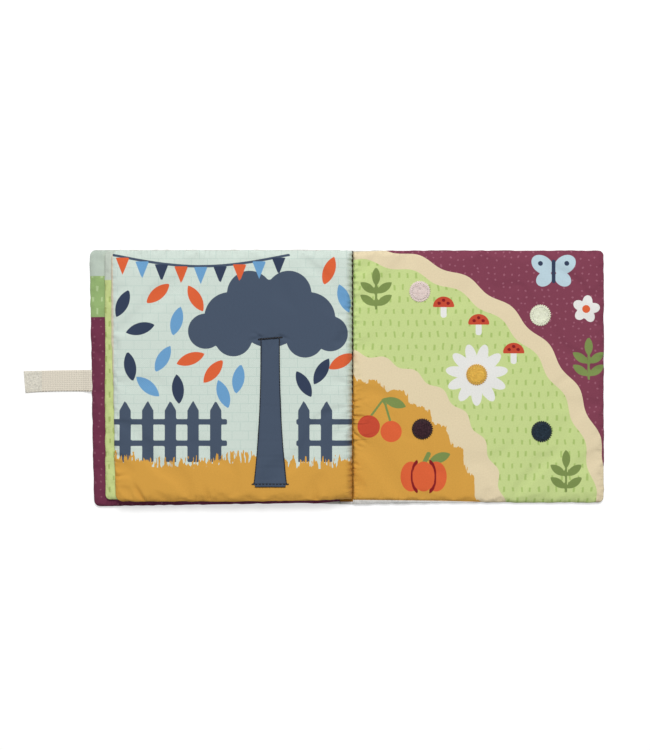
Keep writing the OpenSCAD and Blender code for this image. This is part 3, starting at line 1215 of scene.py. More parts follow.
        # painted shade: the colour darkens near the foot seam, less where the pale hem shows, and near the
        # outer seam
        (foot_dark, foot_wide), (outer_dark, outer_wide) = self.painted_foot_shade, self.painted_outer_shade
        foot = near(from_foot, foot_wide)
        if self.hem is not None:
            foot = foot * np.clip(1 - self.hem(flat[0]), 0.2, 1)
        shade = foot_dark * foot + outer_dark * near(from_outer, outer_wide)
        return np.stack([across, along, shade], 1)

    def build(self) -> None:
        upper, lower = self.rest_shape()
        flat = upper[..., :2].copy()
        upper, lower = self.wadding.swell(self.name, upper, lower)
        axes = (0, 1, 0) if self.creases else (0, 1)
        flat = refined(flat, axes)
        upper, lower = self.settle(refined(upper, axes), refined(lower, axes))
        mesh = shell_mesh(self.name, upper, lower, flat, (0, 1))
        places = shell_flat(flat)
        self.upper.mark(mesh, places)
        pulls_and_shade = self.pull(places).astype(np.float32).ravel()
        mesh.attributes.new(PULL_AND_SHADE, "FLOAT_VECTOR", "POINT").data.foreach_set("vector", pulls_and_shade)
        self.piece = new_piece(self.name, mesh, dressed(self.upper), dressed(self.lower))
        fix(self.piece, self.body, self.slot, self.node)


# Prints


def bands_print(
    name: str, head: tuple[Ink, float], middle: tuple[Ink, float], foot: Ink, hem: Field | None = None
) -> PrintedCotton:
    """Gives a cloth printed in three bands.

    Args:
        name: The cloth's name.
        head: The ink of the band at the head, and the height of its foot in millimetres.
        middle: The ink of the next band, and the height of its foot.
        foot: The ink of the band at the foot.
        hem: Where the plain outer cloth comes round on to this side.

    Returns:
        The printed cloth.
    """
    wrap = () if hem is None else (PrintLayer(Ink.PALE_CLOTH, hem),)
    dashes = Ink.COVER_DASH if middle[0] is Ink.COVER_GREEN else Ink.OLD_LIME_DASH
    return PrintedCotton(
        name,
        (
            PrintLayer(foot, None, Pattern.DOTS, Ink.COVER_DOT) if foot is Ink.COVER_MAROON
            else PrintLayer(foot, None, Pattern.DASHES, Ink.OLD_LIME_DASH),
            PrintLayer(middle[0], lambda at: at[1] - middle[1] - 0.012 * at[0], Pattern.DASHES, dashes),
            PrintLayer(head[0], lambda at: at[1] - head[1]),
            *wrap,
        ),
    )


def scalloped_crown(at: Flat) -> Array:
    """Gives the tree's crown, a cluster of round tufts."""
    tufts = [
        ((-61, 50), 27), ((-93, 47), 20), ((-30, 46), 21), ((-77, 66), 18), ((-46, 66), 18), ((-112, 36), 14),
        ((-13, 34), 14), ((-90, 31), 15), ((-33, 30), 15),
    ]
    return union(*[disc(at, centre, radius) for centre, radius in tufts])


def picket_fence(at: Flat) -> Array:
    """Gives a plain picket fence with pointed pales and two rails."""
    pales = [
        convex(at, [(x - 4.5, -68), (x + 4.5, -68), (x + 4.5, -27), (x, -19), (x - 4.5, -27)])
        for x in (-176, -158, -140, -122, -104, -34, -16)
    ]
    rails = [(x, y) for x in ((-190, -95), (-40, 8)) for y in (-36, -53)]
    return union(*pales, *[block(at, (u, y - 2.2), (v, y + 2.2), 1.0) for (u, v), y in rails])


def leaves_and_flags(kind: int) -> Field:
    """Gives every third of the drifting leaves and of the flags that hang along the page's head.

    Args:
        kind: Which third, from 0 to 2.

    Returns:
        Their signed distance.
    """
    spots = [
        (-150, 66, 40), (-135, 44, 75), (-164, 38, 15), (-120, 62, 120), (-146, 14, 60), (-172, 8, 100),
        (-124, 14, 20), (-158, -8, 140), (-134, -10, 95), (-106, 4, 50), (-98, -14, 110), (-178, 58, 65),
        (-14, 84, 70), (-2, 62, 110), (-20, 4, 60), (-4, 12, 30), (-86, -2, 80), (-34, -6, 120),
    ]

    def area(at: Flat) -> Array:
        """Gives the chosen leaves and flags."""
        shapes = [petal(at, (x, y), 24, 9.5, turn) for x, y, turn in spots[kind::3]]
        for k in range(kind, 9, 3):
            x, top = -178 + 15.5 * k, 96 - 9 * math.sin(math.pi * (k + 0.5) / 9)
            shapes.append(convex(at, [(x - 5.5, top), (x, top - 14), (x + 5.5, top)]))
        return union(*shapes)

    return area


def bunting_line(at: Flat) -> Array:
    """Gives the line that the bunting hangs on."""
    sag = 96 - 9 * np.sin(np.pi * np.clip((at[0] + 185.75) / 139.5, 0, 1)) + 0.6
    inside = np.minimum(at[0] + 190, -45 - at[0])
    return np.minimum(1.0 - np.abs(at[1] - sag), inside)


def ground(at: Flat) -> Array:
    """Gives the straw-coloured ground along the page's foot."""
    return -66 + 2.5 * np.sin(at[0] / 17.0) - at[1]


def left_page_print(edge: Field) -> PrintedCotton:
    """Gives the print of the second leaf: a tree by a fence, with bunting and drifting leaves.

    Args:
        edge: Where the lining comes round on to this side.

    Returns:
        The printed cloth.
    """
    return PrintedCotton(
        "second_leaf_print",
        (
            PrintLayer(Ink.MINT, None, Pattern.BRICKS, Ink.BRICK_LINE),
            PrintLayer(Ink.SLATE, picket_fence),
            PrintLayer(Ink.GOLD, ground, fringe_mm=5.0),
            PrintLayer(Ink.SLATE, scalloped_crown),
            PrintLayer(Ink.SLATE, bunting_line),
            *[PrintLayer(ink, leaves_and_flags(k)) for k, ink in enumerate((Ink.ORANGE, Ink.SKY, Ink.NAVY))],
            PrintLayer(Ink.CREAM, edge),
        ),
    )


@dataclass(frozen=True)
class TerracedPage:
    """The back cover's inside: fields in rings round the corner by the spine's foot, with garden motifs."""

    centre_x: float
    corner: Point = (-120.5, -121.0)
    gold_r: float = 122.0
    lime_from: float = 142.0
    lime_to: float = 215.0
    maroon_from: float = 228.0
    wave_mm: float = 2.0
    waves: int = 34
    daisy: Point = (-1.5, 1.5)
    mushrooms: tuple[Point, ...] = ((-28, 56), (0, 42), (28, 19))
    cherries: tuple[Point, ...] = ((-88, -40), (-70, -44))
    cherry_top: Point = (-76, -18)
    pumpkin: Point = (-44, -80)
    butterfly: Point = (60, 84)
    blossom: Point = (86, 54)
    sprigs: tuple[Point, ...] = ((70, -80), (-82, 66), (88, 10))

    def own(self, area: Field) -> Field:
        """Gives an area whose places are counted from the page's middle."""
        return lambda at: area((at[0] - self.centre_x, at[1]))

    def ring(self, low: float, high: float) -> Field:
        """Gives the wavy field between two distances from the corner.

        Args:
            low: Where the field starts.
            high: Where it ends.

        Returns:
            The field's signed distance.
        """
        def area(at: Flat) -> Array:
            """Gives the field at places from the page's middle."""
            u, v = turned(at, self.corner, 0)
            radius = np.hypot(u, v) + self.wave_mm * np.sin(self.waves * np.arctan2(v, u))
            return np.minimum(radius - low, high - radius)

        return self.own(area)

    def greenery(self, at: Flat) -> Array:
        """Gives stalks, leaves and sprigs."""
        shapes = [bar(at, (x, y + 6), self.cherry_top, 0.9) for x, y in self.cherries]
        shapes.append(petal(at, (self.cherry_top[0] + 9, self.cherry_top[1] - 3), 19, 8, -20))
        x, y = self.pumpkin
        shapes += [bar(at, (x, y + 10), (x + 4, y + 18), 1.8), petal(at, (x + 13, y + 15), 18, 8, 20)]
        for x, y in self.sprigs:
            shapes.append(bar(at, (x, y - 12), (x, y + 10), 0.9))
            for side in (-1, 1):
                shapes += [petal(at, (x + 6.5 * side, y + d), 15, 6.5, 90 - 55 * side) for d in (-5, 5)]
            shapes.append(petal(at, (x, y + 14), 15, 6.5, 90))
        return union(*shapes)

    def white_parts(self, at: Flat) -> Array:
        """Gives the big daisy's petals, a blossom, and the mushrooms' stalks."""
        shapes = []
        flowers = (self.daisy, 11, 15.5, (9.5, 4.3)), (self.blossom, 5, 6.0, (5.2, 4.0))
        for centre, count, reach, half in flowers:
            for k in range(count):
                turn = 360 * k / count + 8
                c, s = math.cos(math.radians(turn)), math.sin(math.radians(turn))
                shapes.append(oval(at, (centre[0] + reach * c, centre[1] + reach * s), half, turn))
        shapes += [block(at, (x - 2.4, y - 9), (x + 2.4, y + 1), 2.0) for x, y in self.mushrooms]
        return union(*shapes)

    def red_parts(self, at: Flat) -> Array:
        """Gives the mushrooms' caps and one cherry."""
        caps = [np.minimum(oval(at, (x, y), (8.5, 8.0)), at[1] - y + 0.5) for x, y in self.mushrooms]
        return union(disc(at, self.cherries[0], 9.0), *caps)

    def orange_parts(self, at: Flat) -> Array:
        """Gives the other cherry, the pumpkin and the blossom's eye."""
        x, y = self.pumpkin
        lobes = [oval(at, (x + d, y), (8.5, 12.0)) for d in (-10, 0, 10)]
        return union(disc(at, self.cherries[1], 8.5), disc(at, self.blossom, 3.2), *lobes)

    def wine_parts(self, at: Flat) -> Array:
        """Gives spots on the caps and the pumpkin's furrows."""
        spots = ((-3.6, 2.6), (0, 5), (3.6, 2.6))
        shapes = [disc(at, (x + d, y + h), 1.4) for x, y in self.mushrooms for d, h in spots]
        x, y = self.pumpkin
        for side in (-1, 1):
            rim = np.abs(oval(at, (x + 4.0 * side, y), (5.5, 12.0)))
            shapes.append(np.minimum(0.8 - rim, (at[0] - x) * side - 4.5))
        return union(*shapes)

    def wings(self, at: Flat) -> Array:
        """Gives the butterfly's wings."""
        x, y = self.butterfly
        shapes = []
        for side in (-1, 1):
            shapes.append(oval(at, (x + 9 * side, y + 5.5), (9.5, 7.0), 35 * side))
            shapes.append(oval(at, (x + 7.5 * side, y - 6), (7.0, 5.6), -35 * side))
        return union(*shapes)

    def wing_marks(self, at: Flat) -> Array:
        """Gives the butterfly's slender body and the spots on its wings."""
        x, y = self.butterfly
        body = bar(at, (x, y - 8), (x, y + 8), 1.5)
        return union(body, *[disc(at, (x + 10.5 * side, y + 6.5), 2.0) for side in (-1, 1)])

    def printed(self, hem: Field) -> PrintedCotton:
        """Gives the page's printed cloth.

        Args:
            hem: Where the plain outer cloth comes round on to this side.

        Returns:
            The printed cloth.
        """
        motifs = (
            (Ink.LEAF, self.greenery), (Ink.WHITE, self.white_parts), (Ink.RED, self.red_parts),
            (Ink.ORANGE, self.orange_parts), (Ink.WINE, self.wine_parts), (Ink.ICE, self.wings),
            (Ink.NAVY, self.wing_marks),
        )
        return PrintedCotton(
            "back_cover_print",
            (
                PrintLayer(Ink.TAN),
                PrintLayer(Ink.MAROON, self.ring(self.maroon_from, math.inf), Pattern.DOTS, Ink.ROSE),
                PrintLayer(Ink.LIME, self.ring(self.lime_from, self.lime_to), Pattern.DASHES, Ink.LIME_DASH),
                PrintLayer(Ink.GOLD, self.ring(-math.inf, self.gold_r), fringe_mm=1.6),
                *[PrintLayer(ink, self.own(area)) for ink, area in motifs],
                PrintLayer(Ink.PALE_CLOTH, hem),
            ),
        )


# Sewn pieces


@dataclass(frozen=True)
class StitchRow:
    """A row of thread stitches, in millimetres and degrees."""

    name: str
    body: str
    slot: str
    thread: Thread
    pitch: float
    length: float
    radius: float
    slant: float = 0.0

    def sew(self, points: Line, closed: bool = False) -> Object:
        """Sews the row along a path of short straight lines.

        Args:
            points: The path's points in millimetres.
            closed: Whether the path comes back to its start.

        Returns:
            The finished piece.
        """
        path = bpy.data.meshes.new(self.name)
        edges = [(k, k + 1) for k in range(len(points) - 1)]
        if closed:
            edges.append((len(points) - 1, 0))
        path.from_pydata([[c * MM for c in point] for point in points], edges, [])
        mesh = stitch_recipe().made(
            self.name, path, Material=dressed(self.thread), Pitch=self.pitch * MM, Length=self.length * MM,
            Radius=self.radius * MM, Slant=math.radians(self.slant),
        )
        return fix(new_piece(self.name, mesh), self.body, self.slot)


def laid_on(places: Sequence[Point], lift: float, *trees: BVHTree) -> Line:
    """Lifts flat places a little above the highest of some surfaces, in millimetres."""
    return [(x, y, max(height_on(tree, x, y) for tree in trees) + lift) for x, y in places]


def rimmed(length: float, steps: Sequence[float], margin: float, cell: float) -> Array:
    """Gives places along a length, close together at both ends.

    Args:
        length: The length in millimetres.
        steps: Places near the start, which the end mirrors.
        margin: Where the even places between them start.
        cell: Distance between the even places, about.

    Returns:
        The places from 0 to the length.
    """
    even = np.linspace(margin, length - margin, round(length / cell))
    return np.array([*steps, *even, *(length - np.array(steps[::-1]))])


@dataclass
class SewnStrip:
    """Flared cloth strip, sewn to the second leaf at its head and free at its foot.

    Paired numbers are a size and its pitch; a groove's are its depth and its width.
    """

    centre_x: float
    head_y: float
    foot_y: float
    finish: PlainCotton
    thread: Thread
    head_w: float = 15.2
    foot_w: float = 27.0
    flare_power: float = 2.4
    thickness: float = 1.0
    edge_t: float = 0.3
    edge_roll: float = 1.1
    hem: float = 2.5
    hem_step: float = 1.0
    corner_r: float = 2.0
    columns: int = 35
    fold_marks: tuple[Point, ...] = (
        (-23.6, 0.22), (-51.6, 0.16), (-64.0, 0.24), (-72.4, 0.34), (-81.0, 0.24)
    )
    head_puckers: tuple[Point, ...] = ((6.0, 235), (3.0, 255), (-5.0, -70))
    pucker: Triple = (11, 0.4, 0.8)
    ear: float = 1.1
    tilt: float = 0.09
    sway: Point = (0.25, 23.0)
    swell: Point = (0.12, 9.0)
    fold_wave: Point = (0.6, 8.0)
    side_groove: Point = (0.3, 0.45)
    hem_groove: Point = (0.35, 0.5)
    side_seam: float = 1.2

    def half_width(self, y: Array) -> Array:
        """Gives half of the strip's width at places along it."""
        share = np.clip((self.head_y - y) / (self.head_y - self.foot_y), 0, 1)
        half = (self.head_w + (self.foot_w - self.head_w) * share ** self.flare_power) / 2
        half = half - self.hem_step * ease((self.foot_y + self.hem - y) / 0.7)
        half = half + self.ear * near(y - self.foot_y - self.hem, 0.6)
        rest = self.corner_r - np.clip(y - self.foot_y, 0, self.corner_r)
        return half - self.corner_r + np.sqrt(np.maximum(self.corner_r ** 2 - rest ** 2, 0))

    def cloth(self, tree: BVHTree) -> Object:
        """Makes the strip's cloth, with its folds, its sewn edges and the puckers at its head.

        Args:
            tree: Search tree of the leaf below.

        Returns:
            The finished cloth.
        """
        knee = self.foot_y + 5
        lines = np.concatenate([np.linspace(self.head_y, knee, 84), np.linspace(knee, self.foot_y, 26)[1:]])
        across = np.sin(np.linspace(-np.pi / 2, np.pi / 2, self.columns))
        side, y = np.meshgrid(across, lines)
        half = self.half_width(y)
        sway, pitch = self.sway
        x = self.centre_x + side * half + sway * wander(y, pitch, SEED) * (y < self.head_y - 8)
        inside = np.minimum(half * (1 - np.abs(side)), y - self.foot_y)
        y = y + self.tilt * (x - self.centre_x) * near(self.head_y - y, 10)
        seat = np.vectorize(lambda u, v: height_on(tree, u, v))(x, y)
        lift = self.edge_t + (self.thickness - self.edge_t) * round_rise(inside / self.edge_roll)
        (deep, wide), (swell, pitch) = self.side_groove, self.swell
        lift = lift - deep * near(inside - self.side_seam, wide) + swell * ripple((x, y), pitch, SEED + 2)
        wave, pitch = self.fold_wave
        for number, (mark, depth) in enumerate(self.fold_marks):
            bent = y - mark - wave * wander(x, pitch, SEED + 50 + number)
            lift = lift - depth * near(bent, 0.7) + 0.4 * depth * near(bent - 1.6, 0.9)
        deep, wide = self.hem_groove
        lift = lift - deep * near(y - self.foot_y - self.hem, wide)
        for reach, angle in self.head_puckers:
            pucker = Crease((self.centre_x + reach, self.head_y - 1.5), angle, *self.pucker)
            lift = lift - pucker.sink((x, y))
        upper, lower = (np.stack([x, y, seat + level], 2) for level in (lift, 0.08))
        mesh = shell_mesh("sewn_strip_cloth", upper, lower, upper[..., :2])
        piece = new_piece("sewn_strip_cloth", mesh, dressed(self.finish))
        return fix(piece, BOOK, "strip_cloth", "sewn_strip")

    def build(self, tree: BVHTree, carrier: Object) -> None:
        """Makes the strip and its rows of stitches.

        Args:
            tree: Search tree of the leaf below.
            carrier: Not used.
        """
        piece = self.cloth(tree)
        surface = surface_tree(piece)
        hem_y = self.foot_y + self.hem
        hem_half = float(self.half_width(np.array(hem_y))) - 0.5
        foot_half = float(self.half_width(np.array(self.foot_y + 0.6))) - 0.8
        for name, half_row, row_y, tilt, pitch, length, thick in (
            ("strip_head_stitches", self.head_w / 2 + 0.8, self.head_y - 0.7, self.tilt, 2.0, 3.2, 0.85),
            ("strip_hem_stitches", hem_half, hem_y, 0.0, 2.7, 2.2, 0.55),
            # the foot row overlaps into a dark line: stitching and painted shade of the foot edge
            ("strip_foot_stitches", foot_half, self.foot_y + 0.4, 0.0, 2.1, 2.8, 0.4),
        ):
            places = [(self.centre_x + u, row_y + tilt * u) for u in np.linspace(-half_row, half_row, 40)]
            row = StitchRow(name, BOOK, "strip_cloth", self.thread, pitch, length, thick)
            row.sew(laid_on(places, 0.1, surface, tree))
        # dark side rows: stitching and painted shade along the strip's edges
        side_y = np.linspace(self.head_y - 1.5, hem_y + 1.0, 90)
        for name, sign in (("strip_left_stitches", -1), ("strip_right_stitches", 1)):
            side_x = self.centre_x + sign * (self.half_width(side_y) - 0.35)
            row = StitchRow(name, BOOK, "strip_cloth", self.thread, 2.1, 2.8, 0.48)
            row.sew(laid_on(list(zip(side_x, side_y)), 0.02, surface))
        length = self.head_y - self.foot_y
        half = self.half_width(np.linspace(self.head_y, self.foot_y, 400))


def pile_piece(
    name: str, body: str, slot: str, ground: Object, pile: GripPile, density: float, loop: float,
    side: int = 1, radius: float = math.inf,
) -> Object:
    """Strews filament loops over the flat face of a grip piece.

    Args:
        name: The new piece's name.
        body: The body that it rides on.
        slot: Its material slot.
        ground: The grip piece below the loops.
        pile: The loops' finish.
        density: Loops on a square metre.
        loop: Radius of a loop in millimetres.
        side: 1 for loops on the upper face, -1 for the lower one.
        radius: Loops stand only this near to the ground's middle, in millimetres.

    Returns:
        The finished piece.
    """
    mesh = ground.data
    box = [Vector(corner) for corner in ground.bound_box]
    middle = (box[0] + box[6]) / 2
    chosen = [
        list(p.vertices) for p in mesh.polygons
        if p.normal.z * side > 0.85 and (p.center - middle).xy.length < radius * MM
    ]
    face = bpy.data.meshes.new(f"{name}_ground")
    face.from_pydata([v.co[:] for v in mesh.vertices], [], chosen)
    sizes = {"Density": density, "Loop": loop * MM, "Filament": 0.24 * loop * MM}
    nap = pile_recipe().made(name, face, Material=dressed(pile), **sizes)
    return fix(new_piece(name, nap), body, slot)


@dataclass
class ClosingStrap:
    """Natural cotton tape from the front cover's outer seam, with a grip patch on its end."""

    tip_x: float
    edge_x: float
    patch: Corners
    tape: WovenTape
    pile: GripPile
    thread: Thread
    selvedge_shade: Thread
    centre_y: float = -3.5
    width: float = 17.5
    thickness: float = 1.2
    patch_t: float = 0.4
    patch_inset: float = 2.5
    rim_steps: tuple[float, ...] = (0, 0.18, 0.5, 1.0)
    rim_margin: float = 1.6
    cell: float = 1.1
    edge_roll: float = 0.55
    wave: float = 0.14
    wave_pitch: float = 11.0
    root: float = 6.0
    seam_z: float = 2.5
    fall: float = 9.0
    sag: float = 0.9
    slant: float = 0.7
    arch: float = 0.6

    def centre(self, x: Any) -> tuple[Any, Any]:
        """Gives the tape's middle line.

        Args:
            x: Places across the book.

        Returns:
            The line's place along the spine and its height.
        """
        out = (self.edge_x - x) / (self.edge_x - self.tip_x)
        low = self.thickness / 2
        z = self.seam_z + (low - self.seam_z) * ease((self.edge_x - x) / self.fall)
        return self.centre_y - self.sag * np.clip(out, 0, 1) ** 1.5, z

    def slab(self, name: str, low_x: float, high_x: float, half: float, floor: float, top: float) -> Mesh:
        """Makes a flat tape between two places along the strap.

        Args:
            name: The tape's name.
            low_x: Its outer end.
            high_x: Its inner end.
            half: Half of its width.
            floor: Its lower face from the middle line.
            top: Its upper face from the middle line.

        Returns:
            The tape's mesh, with its flat map.
        """
        rims = (self.rim_steps, self.rim_margin, self.cell)
        run, over = (rimmed(size, *rims) for size in (high_x - low_x, 2 * half))
        x, side = np.meshgrid(low_x + run, (over - half)[::-1])
        y, z = self.centre(x)
        inside = np.minimum(np.minimum(x - low_x, high_x - x), half - np.abs(side))
        grow = round_rise(inside / self.edge_roll) * (0.3 + 0.7 * ease((self.edge_x - x) / 1.5))
        out = np.clip((self.edge_x - x) / (self.edge_x - self.tip_x), 0, 1)
        y = y + self.arch * np.sin(np.pi * out) * np.clip(-side / half, 0, 1)
        slope = self.slant * side / half * np.clip(1 - (x - low_x) / 12, 0, 1)
        free = np.clip((self.edge_x - x) / 8, 0, 1)
        wave = self.wave * ripple((x, side), self.wave_pitch, SEED + 5) * free
        middle = z + (floor + top) / 2
        rise = (top - floor) / 2 * grow
        upper = np.stack([x - slope, y + side, middle + rise + wave], 2)
        lower = np.stack([x - slope, y + side, middle - rise + np.maximum(wave, 0)], 2)
        return shell_mesh(name, upper, lower, np.stack([x, side], 2))

    def build(self) -> None:
        """Makes the tape, its grip patch and the stitches on both."""
        half, reach = self.width / 2, self.thickness / 2
        low, high = self.patch[0][0], self.patch[1][0]
        end = self.edge_x + self.root
        mesh = self.slab("strap_tape", self.tip_x, end, half, -reach, reach)
        tape = fix(new_piece("strap_tape", mesh, dressed(self.tape)), BOOK, "strap_tape", "closing_strap")
        mesh = self.slab("strap_grip_pad", low, high, half - 0.3, reach, reach + self.patch_t)
        pad = new_piece("strap_grip_pad", mesh, dressed(self.pile))
        fix(pad, BOOK, "grip_tape", "strap_grip_patch")
        inset, side = 1.5, half - self.patch_inset
        corners = [(low + inset, -side), (high - inset, -side), (high - inset, side), (low + inset, side)]
        places = []
        for (x0, s0), (x1, s1) in zip(corners, [*corners[1:], corners[0]]):
            for share in np.linspace(0, 1, 12, endpoint=False):
                x = x0 + (x1 - x0) * share
                places.append((x, float(self.centre(x)[0]) + s0 + (s1 - s0) * share))
        row = StitchRow("strap_patch_stitches", BOOK, "strap_tape", self.thread, 2.4, 2.0, 0.24)
        stitches = row.sew(laid_on(places, 0.12, surface_tree(pad)), True)
        nap = pile_piece("strap_grip_loops", BOOK, "grip_tape", pad, self.pile, 1.2e6, 0.26)
        run = np.linspace(self.edge_x - 0.5, high + 1.0, 40)
        places = [(x, float(self.centre(x)[0]) - half + 0.9) for x in run]
        # a darker row near the lower edge: stitching and painted shade of that edge
        row = StitchRow("strap_edge_stitches", BOOK, "strap_tape", self.selvedge_shade, 2.4, 1.9, 0.28)
        edge = row.sew(laid_on(places, 0.02, surface_tree(tape)))


@dataclass
class GripDot:
    """A round of loop tape, sewn to the back cover's inside with a zigzag round its rim."""

    node: str
    ink: Ink
    thread_ink: Ink
    tones: Point
    thickness: float = 0.95
    edge_t: float = 0.3
    rings: int = 14
    spokes: int = 112
    notch: float = 1.1
    speckle_mm: float = 1.5
    teeth: int = 28
    sunk: float = 0.3

    def disc_mesh(self, tree: BVHTree, centre: Point, radius: float) -> Mesh:
        """Makes the round as a closed disc with a notched rim, seated on the cover.

        Args:
            tree: Search tree of the back cover.
            centre: The round's middle.
            radius: Its radius to the tips between notches.

        Returns:
            The round's mesh.
        """
        (cx, cy), n = centre, self.spokes
        angles = np.linspace(0, 2 * np.pi, n, endpoint=False)
        reach = radius * np.sin(np.linspace(0, np.pi / 2, self.rings + 1)[1:])
        level = height_on(tree, cx, cy)
        rise = self.edge_t + (self.thickness - self.edge_t) * ease((radius - 0.5 - reach) / 2.0)
        points = [(cx, cy, level + self.thickness)]
        for r, lift in (*zip(reach, rise), (radius, -self.sunk)):
            for a in angles:
                out = r - self.notch * (0.5 - 0.5 * math.sin(self.teeth * a)) * (r / radius) ** 8
                x, y = cx + out * math.cos(a), cy + out * math.sin(a)
                points.append((x, y, height_on(tree, x, y) + lift))
        points.append((cx, cy, level - self.sunk))
        last = 1 + self.rings * n
        faces: list[tuple[int, ...]] = []
        for k in range(n):
            after = (k + 1) % n
            faces.append((0, 1 + k, 1 + after))
            for near_ring in range(1, last, n):
                far_ring = near_ring + n
                faces.append((near_ring + k, far_ring + k, far_ring + after, near_ring + after))
            faces.append((last + after, last + k, len(points) - 1))
        mesh = bpy.data.meshes.new(f"{self.node}_tape")
        mesh.from_pydata([[c * MM for c in point] for point in points], [], faces)
        return mesh

    def build(self, tree: BVHTree) -> None:
        """Makes the round, its nap, its zigzag, and dark marks at the needle's holes that paint their shade.

        Args:
            tree: Search tree of the back cover.
        """
        low, high = box_mm(self.node)
        cx, cy = (low[0] + high[0]) / 2, (low[1] + high[1]) / 2
        radius = (high[0] - low[0]) / 2
        pile = GripPile(f"{self.node}_loop_nylon", self.ink, self.speckle_mm, self.tones)
        mesh = self.disc_mesh(tree, (cx, cy), radius)
        piece = fix(new_piece(f"{self.node}_tape", mesh, dressed(pile)), BACK, self.node, self.node)
        pile_piece(f"{self.node}_nap", BACK, self.node, piece, pile, 2.0e6, 0.26, radius=radius - 2.7)
        surface = surface_tree(piece)
        thread = Thread(f"{self.node}_thread", self.thread_ink)
        # dark spindles of the round's own ink: painted shade of the needle holes
        hole = Thread(f"{self.node}_needle_hole", self.ink, 0.4)
        turns = np.linspace(0, 2 * np.pi, 4 * self.teeth, endpoint=False)
        for name, finish, ring, count, length, thick, slant, lift in (
            ("zigzag", thread, radius - 1.15, 2 * self.teeth, 2.7, 0.25, 60.0, 0.25),
            ("needle_holes", hole, radius - 2.35, self.teeth, 0.75, 0.3, 0.0, 0.0),
        ):
            places = [(cx + ring * math.cos(a), cy + ring * math.sin(a)) for a in turns]
            pitch = 2 * math.pi * ring / count
            row = StitchRow(f"{self.node}_{name}", BACK, self.node, finish, pitch, length, thick, slant)
            row.sew(laid_on(places, lift, surface), True)


@dataclass
class CoverPatch:
    """Loop patch on the back cover's outside, which the strap's patch grips when the book is shut."""

    low: list[float]
    high: list[float]
    pile: GripPile
    thread: Thread
    rim_steps: tuple[float, ...] = (0, 0.2, 0.6, 1.2)
    rim_margin: float = 2.0
    cell: float = 1.2
    edge_roll: float = 0.6
    middle_z: float = 0.42
    half_t: float = 0.4
    inset: float = 1.4
    stitch_z: float = 0.06

    def build(self) -> None:
        """Makes the patch, its nap and its stitches."""
        (x0, y0), (x1, y1) = self.low[:2], self.high[:2]
        run, rise = (rimmed(size, self.rim_steps, self.rim_margin, self.cell) for size in (x1 - x0, y1 - y0))
        x, y = np.meshgrid(x0 + run, (y0 + rise)[::-1])
        edge = np.minimum(np.minimum(x - x0, x1 - x), np.minimum(y - y0, y1 - y))
        half = self.half_t * round_rise(edge / self.edge_roll)
        upper, lower = (np.stack([x, y, self.middle_z + side * half], 2) for side in (1, -1))
        mesh = shell_mesh("cover_grip_pad", upper, lower)
        piece = new_piece("cover_grip_pad", mesh, dressed(self.pile))
        fix(piece, BACK, "grip_tape", "cover_grip_patch")
        pile_piece("cover_grip_loops", BACK, "grip_tape", piece, self.pile, 0.5e6, 0.12, -1)
        x0, y0, x1, y1 = x0 + self.inset, y0 + self.inset, x1 - self.inset, y1 - self.inset
        corners = [(u, v, self.stitch_z) for u, v in ((x0, y0), (x1, y0), (x1, y1), (x0, y1))]
        row = StitchRow("cover_patch_stitches", BACK, "grip_tape", self.thread, 2.4, 2.0, 0.22)
        row.sew(corners, True)


@dataclass
class SpineCloth:
    """Strip of outer cotton between the covers, laid as a flat pleat of an outer and an inner layer."""

    low: list[float]
    high: list[float]
    finish: PlainCotton
    # inside and foot_shade_lining are dark cloths on the upper face: painted shade of the gutter
    inside: PlainCotton
    foot_shade_lining: PlainCotton
    foot_from: float
    tuck: float = 0.6
    foot_bulge: float = 1.4
    hem: float = 0.5
    head_hem: float = 0.9
    half_t: float = 0.17
    outer_z: float = 0.32
    inner_z: float = 1.1
    fold_t: float = 0.3
    soft: float = 0.45
    pucker: float = 0.12
    wall: float = 22.4
    rows: int = 120
    columns: int = 10

    def build(self) -> None:
        """Makes the cloth as an outer and an inner layer joined at the pleat's fold, and hides the spine's
        solid.
        """
        reach = self.high[0] + self.tuck
        head, foot = self.high[1], self.low[1]
        run = np.linspace(-reach, reach, self.columns)
        rows = [head - np.array([0, 0.4]), np.linspace(head - 1, foot + 2, self.rows)]
        y_line = np.concatenate([*rows, np.linspace(foot + 1.6, foot - self.foot_bulge, 10)])
        x, y = np.meshgrid(np.concatenate([run, run]), y_line)
        inner = np.arange(2 * self.columns) >= self.columns
        fold = self.columns - 1
        x[:, fold] += self.soft * wander(y_line, 13.0, SEED + 8)
        x[:, fold + 1] += self.soft * wander(y_line, 11.0, SEED + 9)
        flat = np.stack([x + inner * (2 * reach + self.wall), y], 2)
        grow = round_rise((np.minimum(y - foot + self.foot_bulge, head - y) + 0.02) / 1.0)
        puckers = self.pucker * np.abs(wander(y, 4.0, SEED + 7)) * grow
        middle = np.where(inner, self.inner_z - puckers, self.outer_z)
        upper = np.stack([x, y, middle + self.half_t * grow], 2)
        lower = np.stack([x, y, middle - self.half_t * grow], 2)
        upper[:, fold, 0] -= self.fold_t
        upper[:, fold + 1, 0] += self.fold_t
        rim = rim_of(upper)
        lower[rim] = upper[rim]
        # the upper face between the hems takes the dark cloths: painted shade of the gutter, dark gold below
        # foot_from
        sides = np.ones((2, len(y_line) - 1, 2 * self.columns - 1), np.int32)
        above_hem = y_line[1:] > foot + self.hem
        sides[0, above_hem & (y_line[1:] < head - self.head_hem)] = 0
        sides[0, above_hem & (y_line[1:] < self.foot_from)] = 2
        mesh = shell_mesh("spine_cloth", upper, lower, flat, sides)
        cloths = [dressed(finish) for finish in (self.inside, self.finish, self.foot_shade_lining)]
        piece = new_piece("spine_cloth", mesh, *cloths)
        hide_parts("spine")
        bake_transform(piece)
        log.info("spine_cloth: %d faces", len(mesh.polygons))


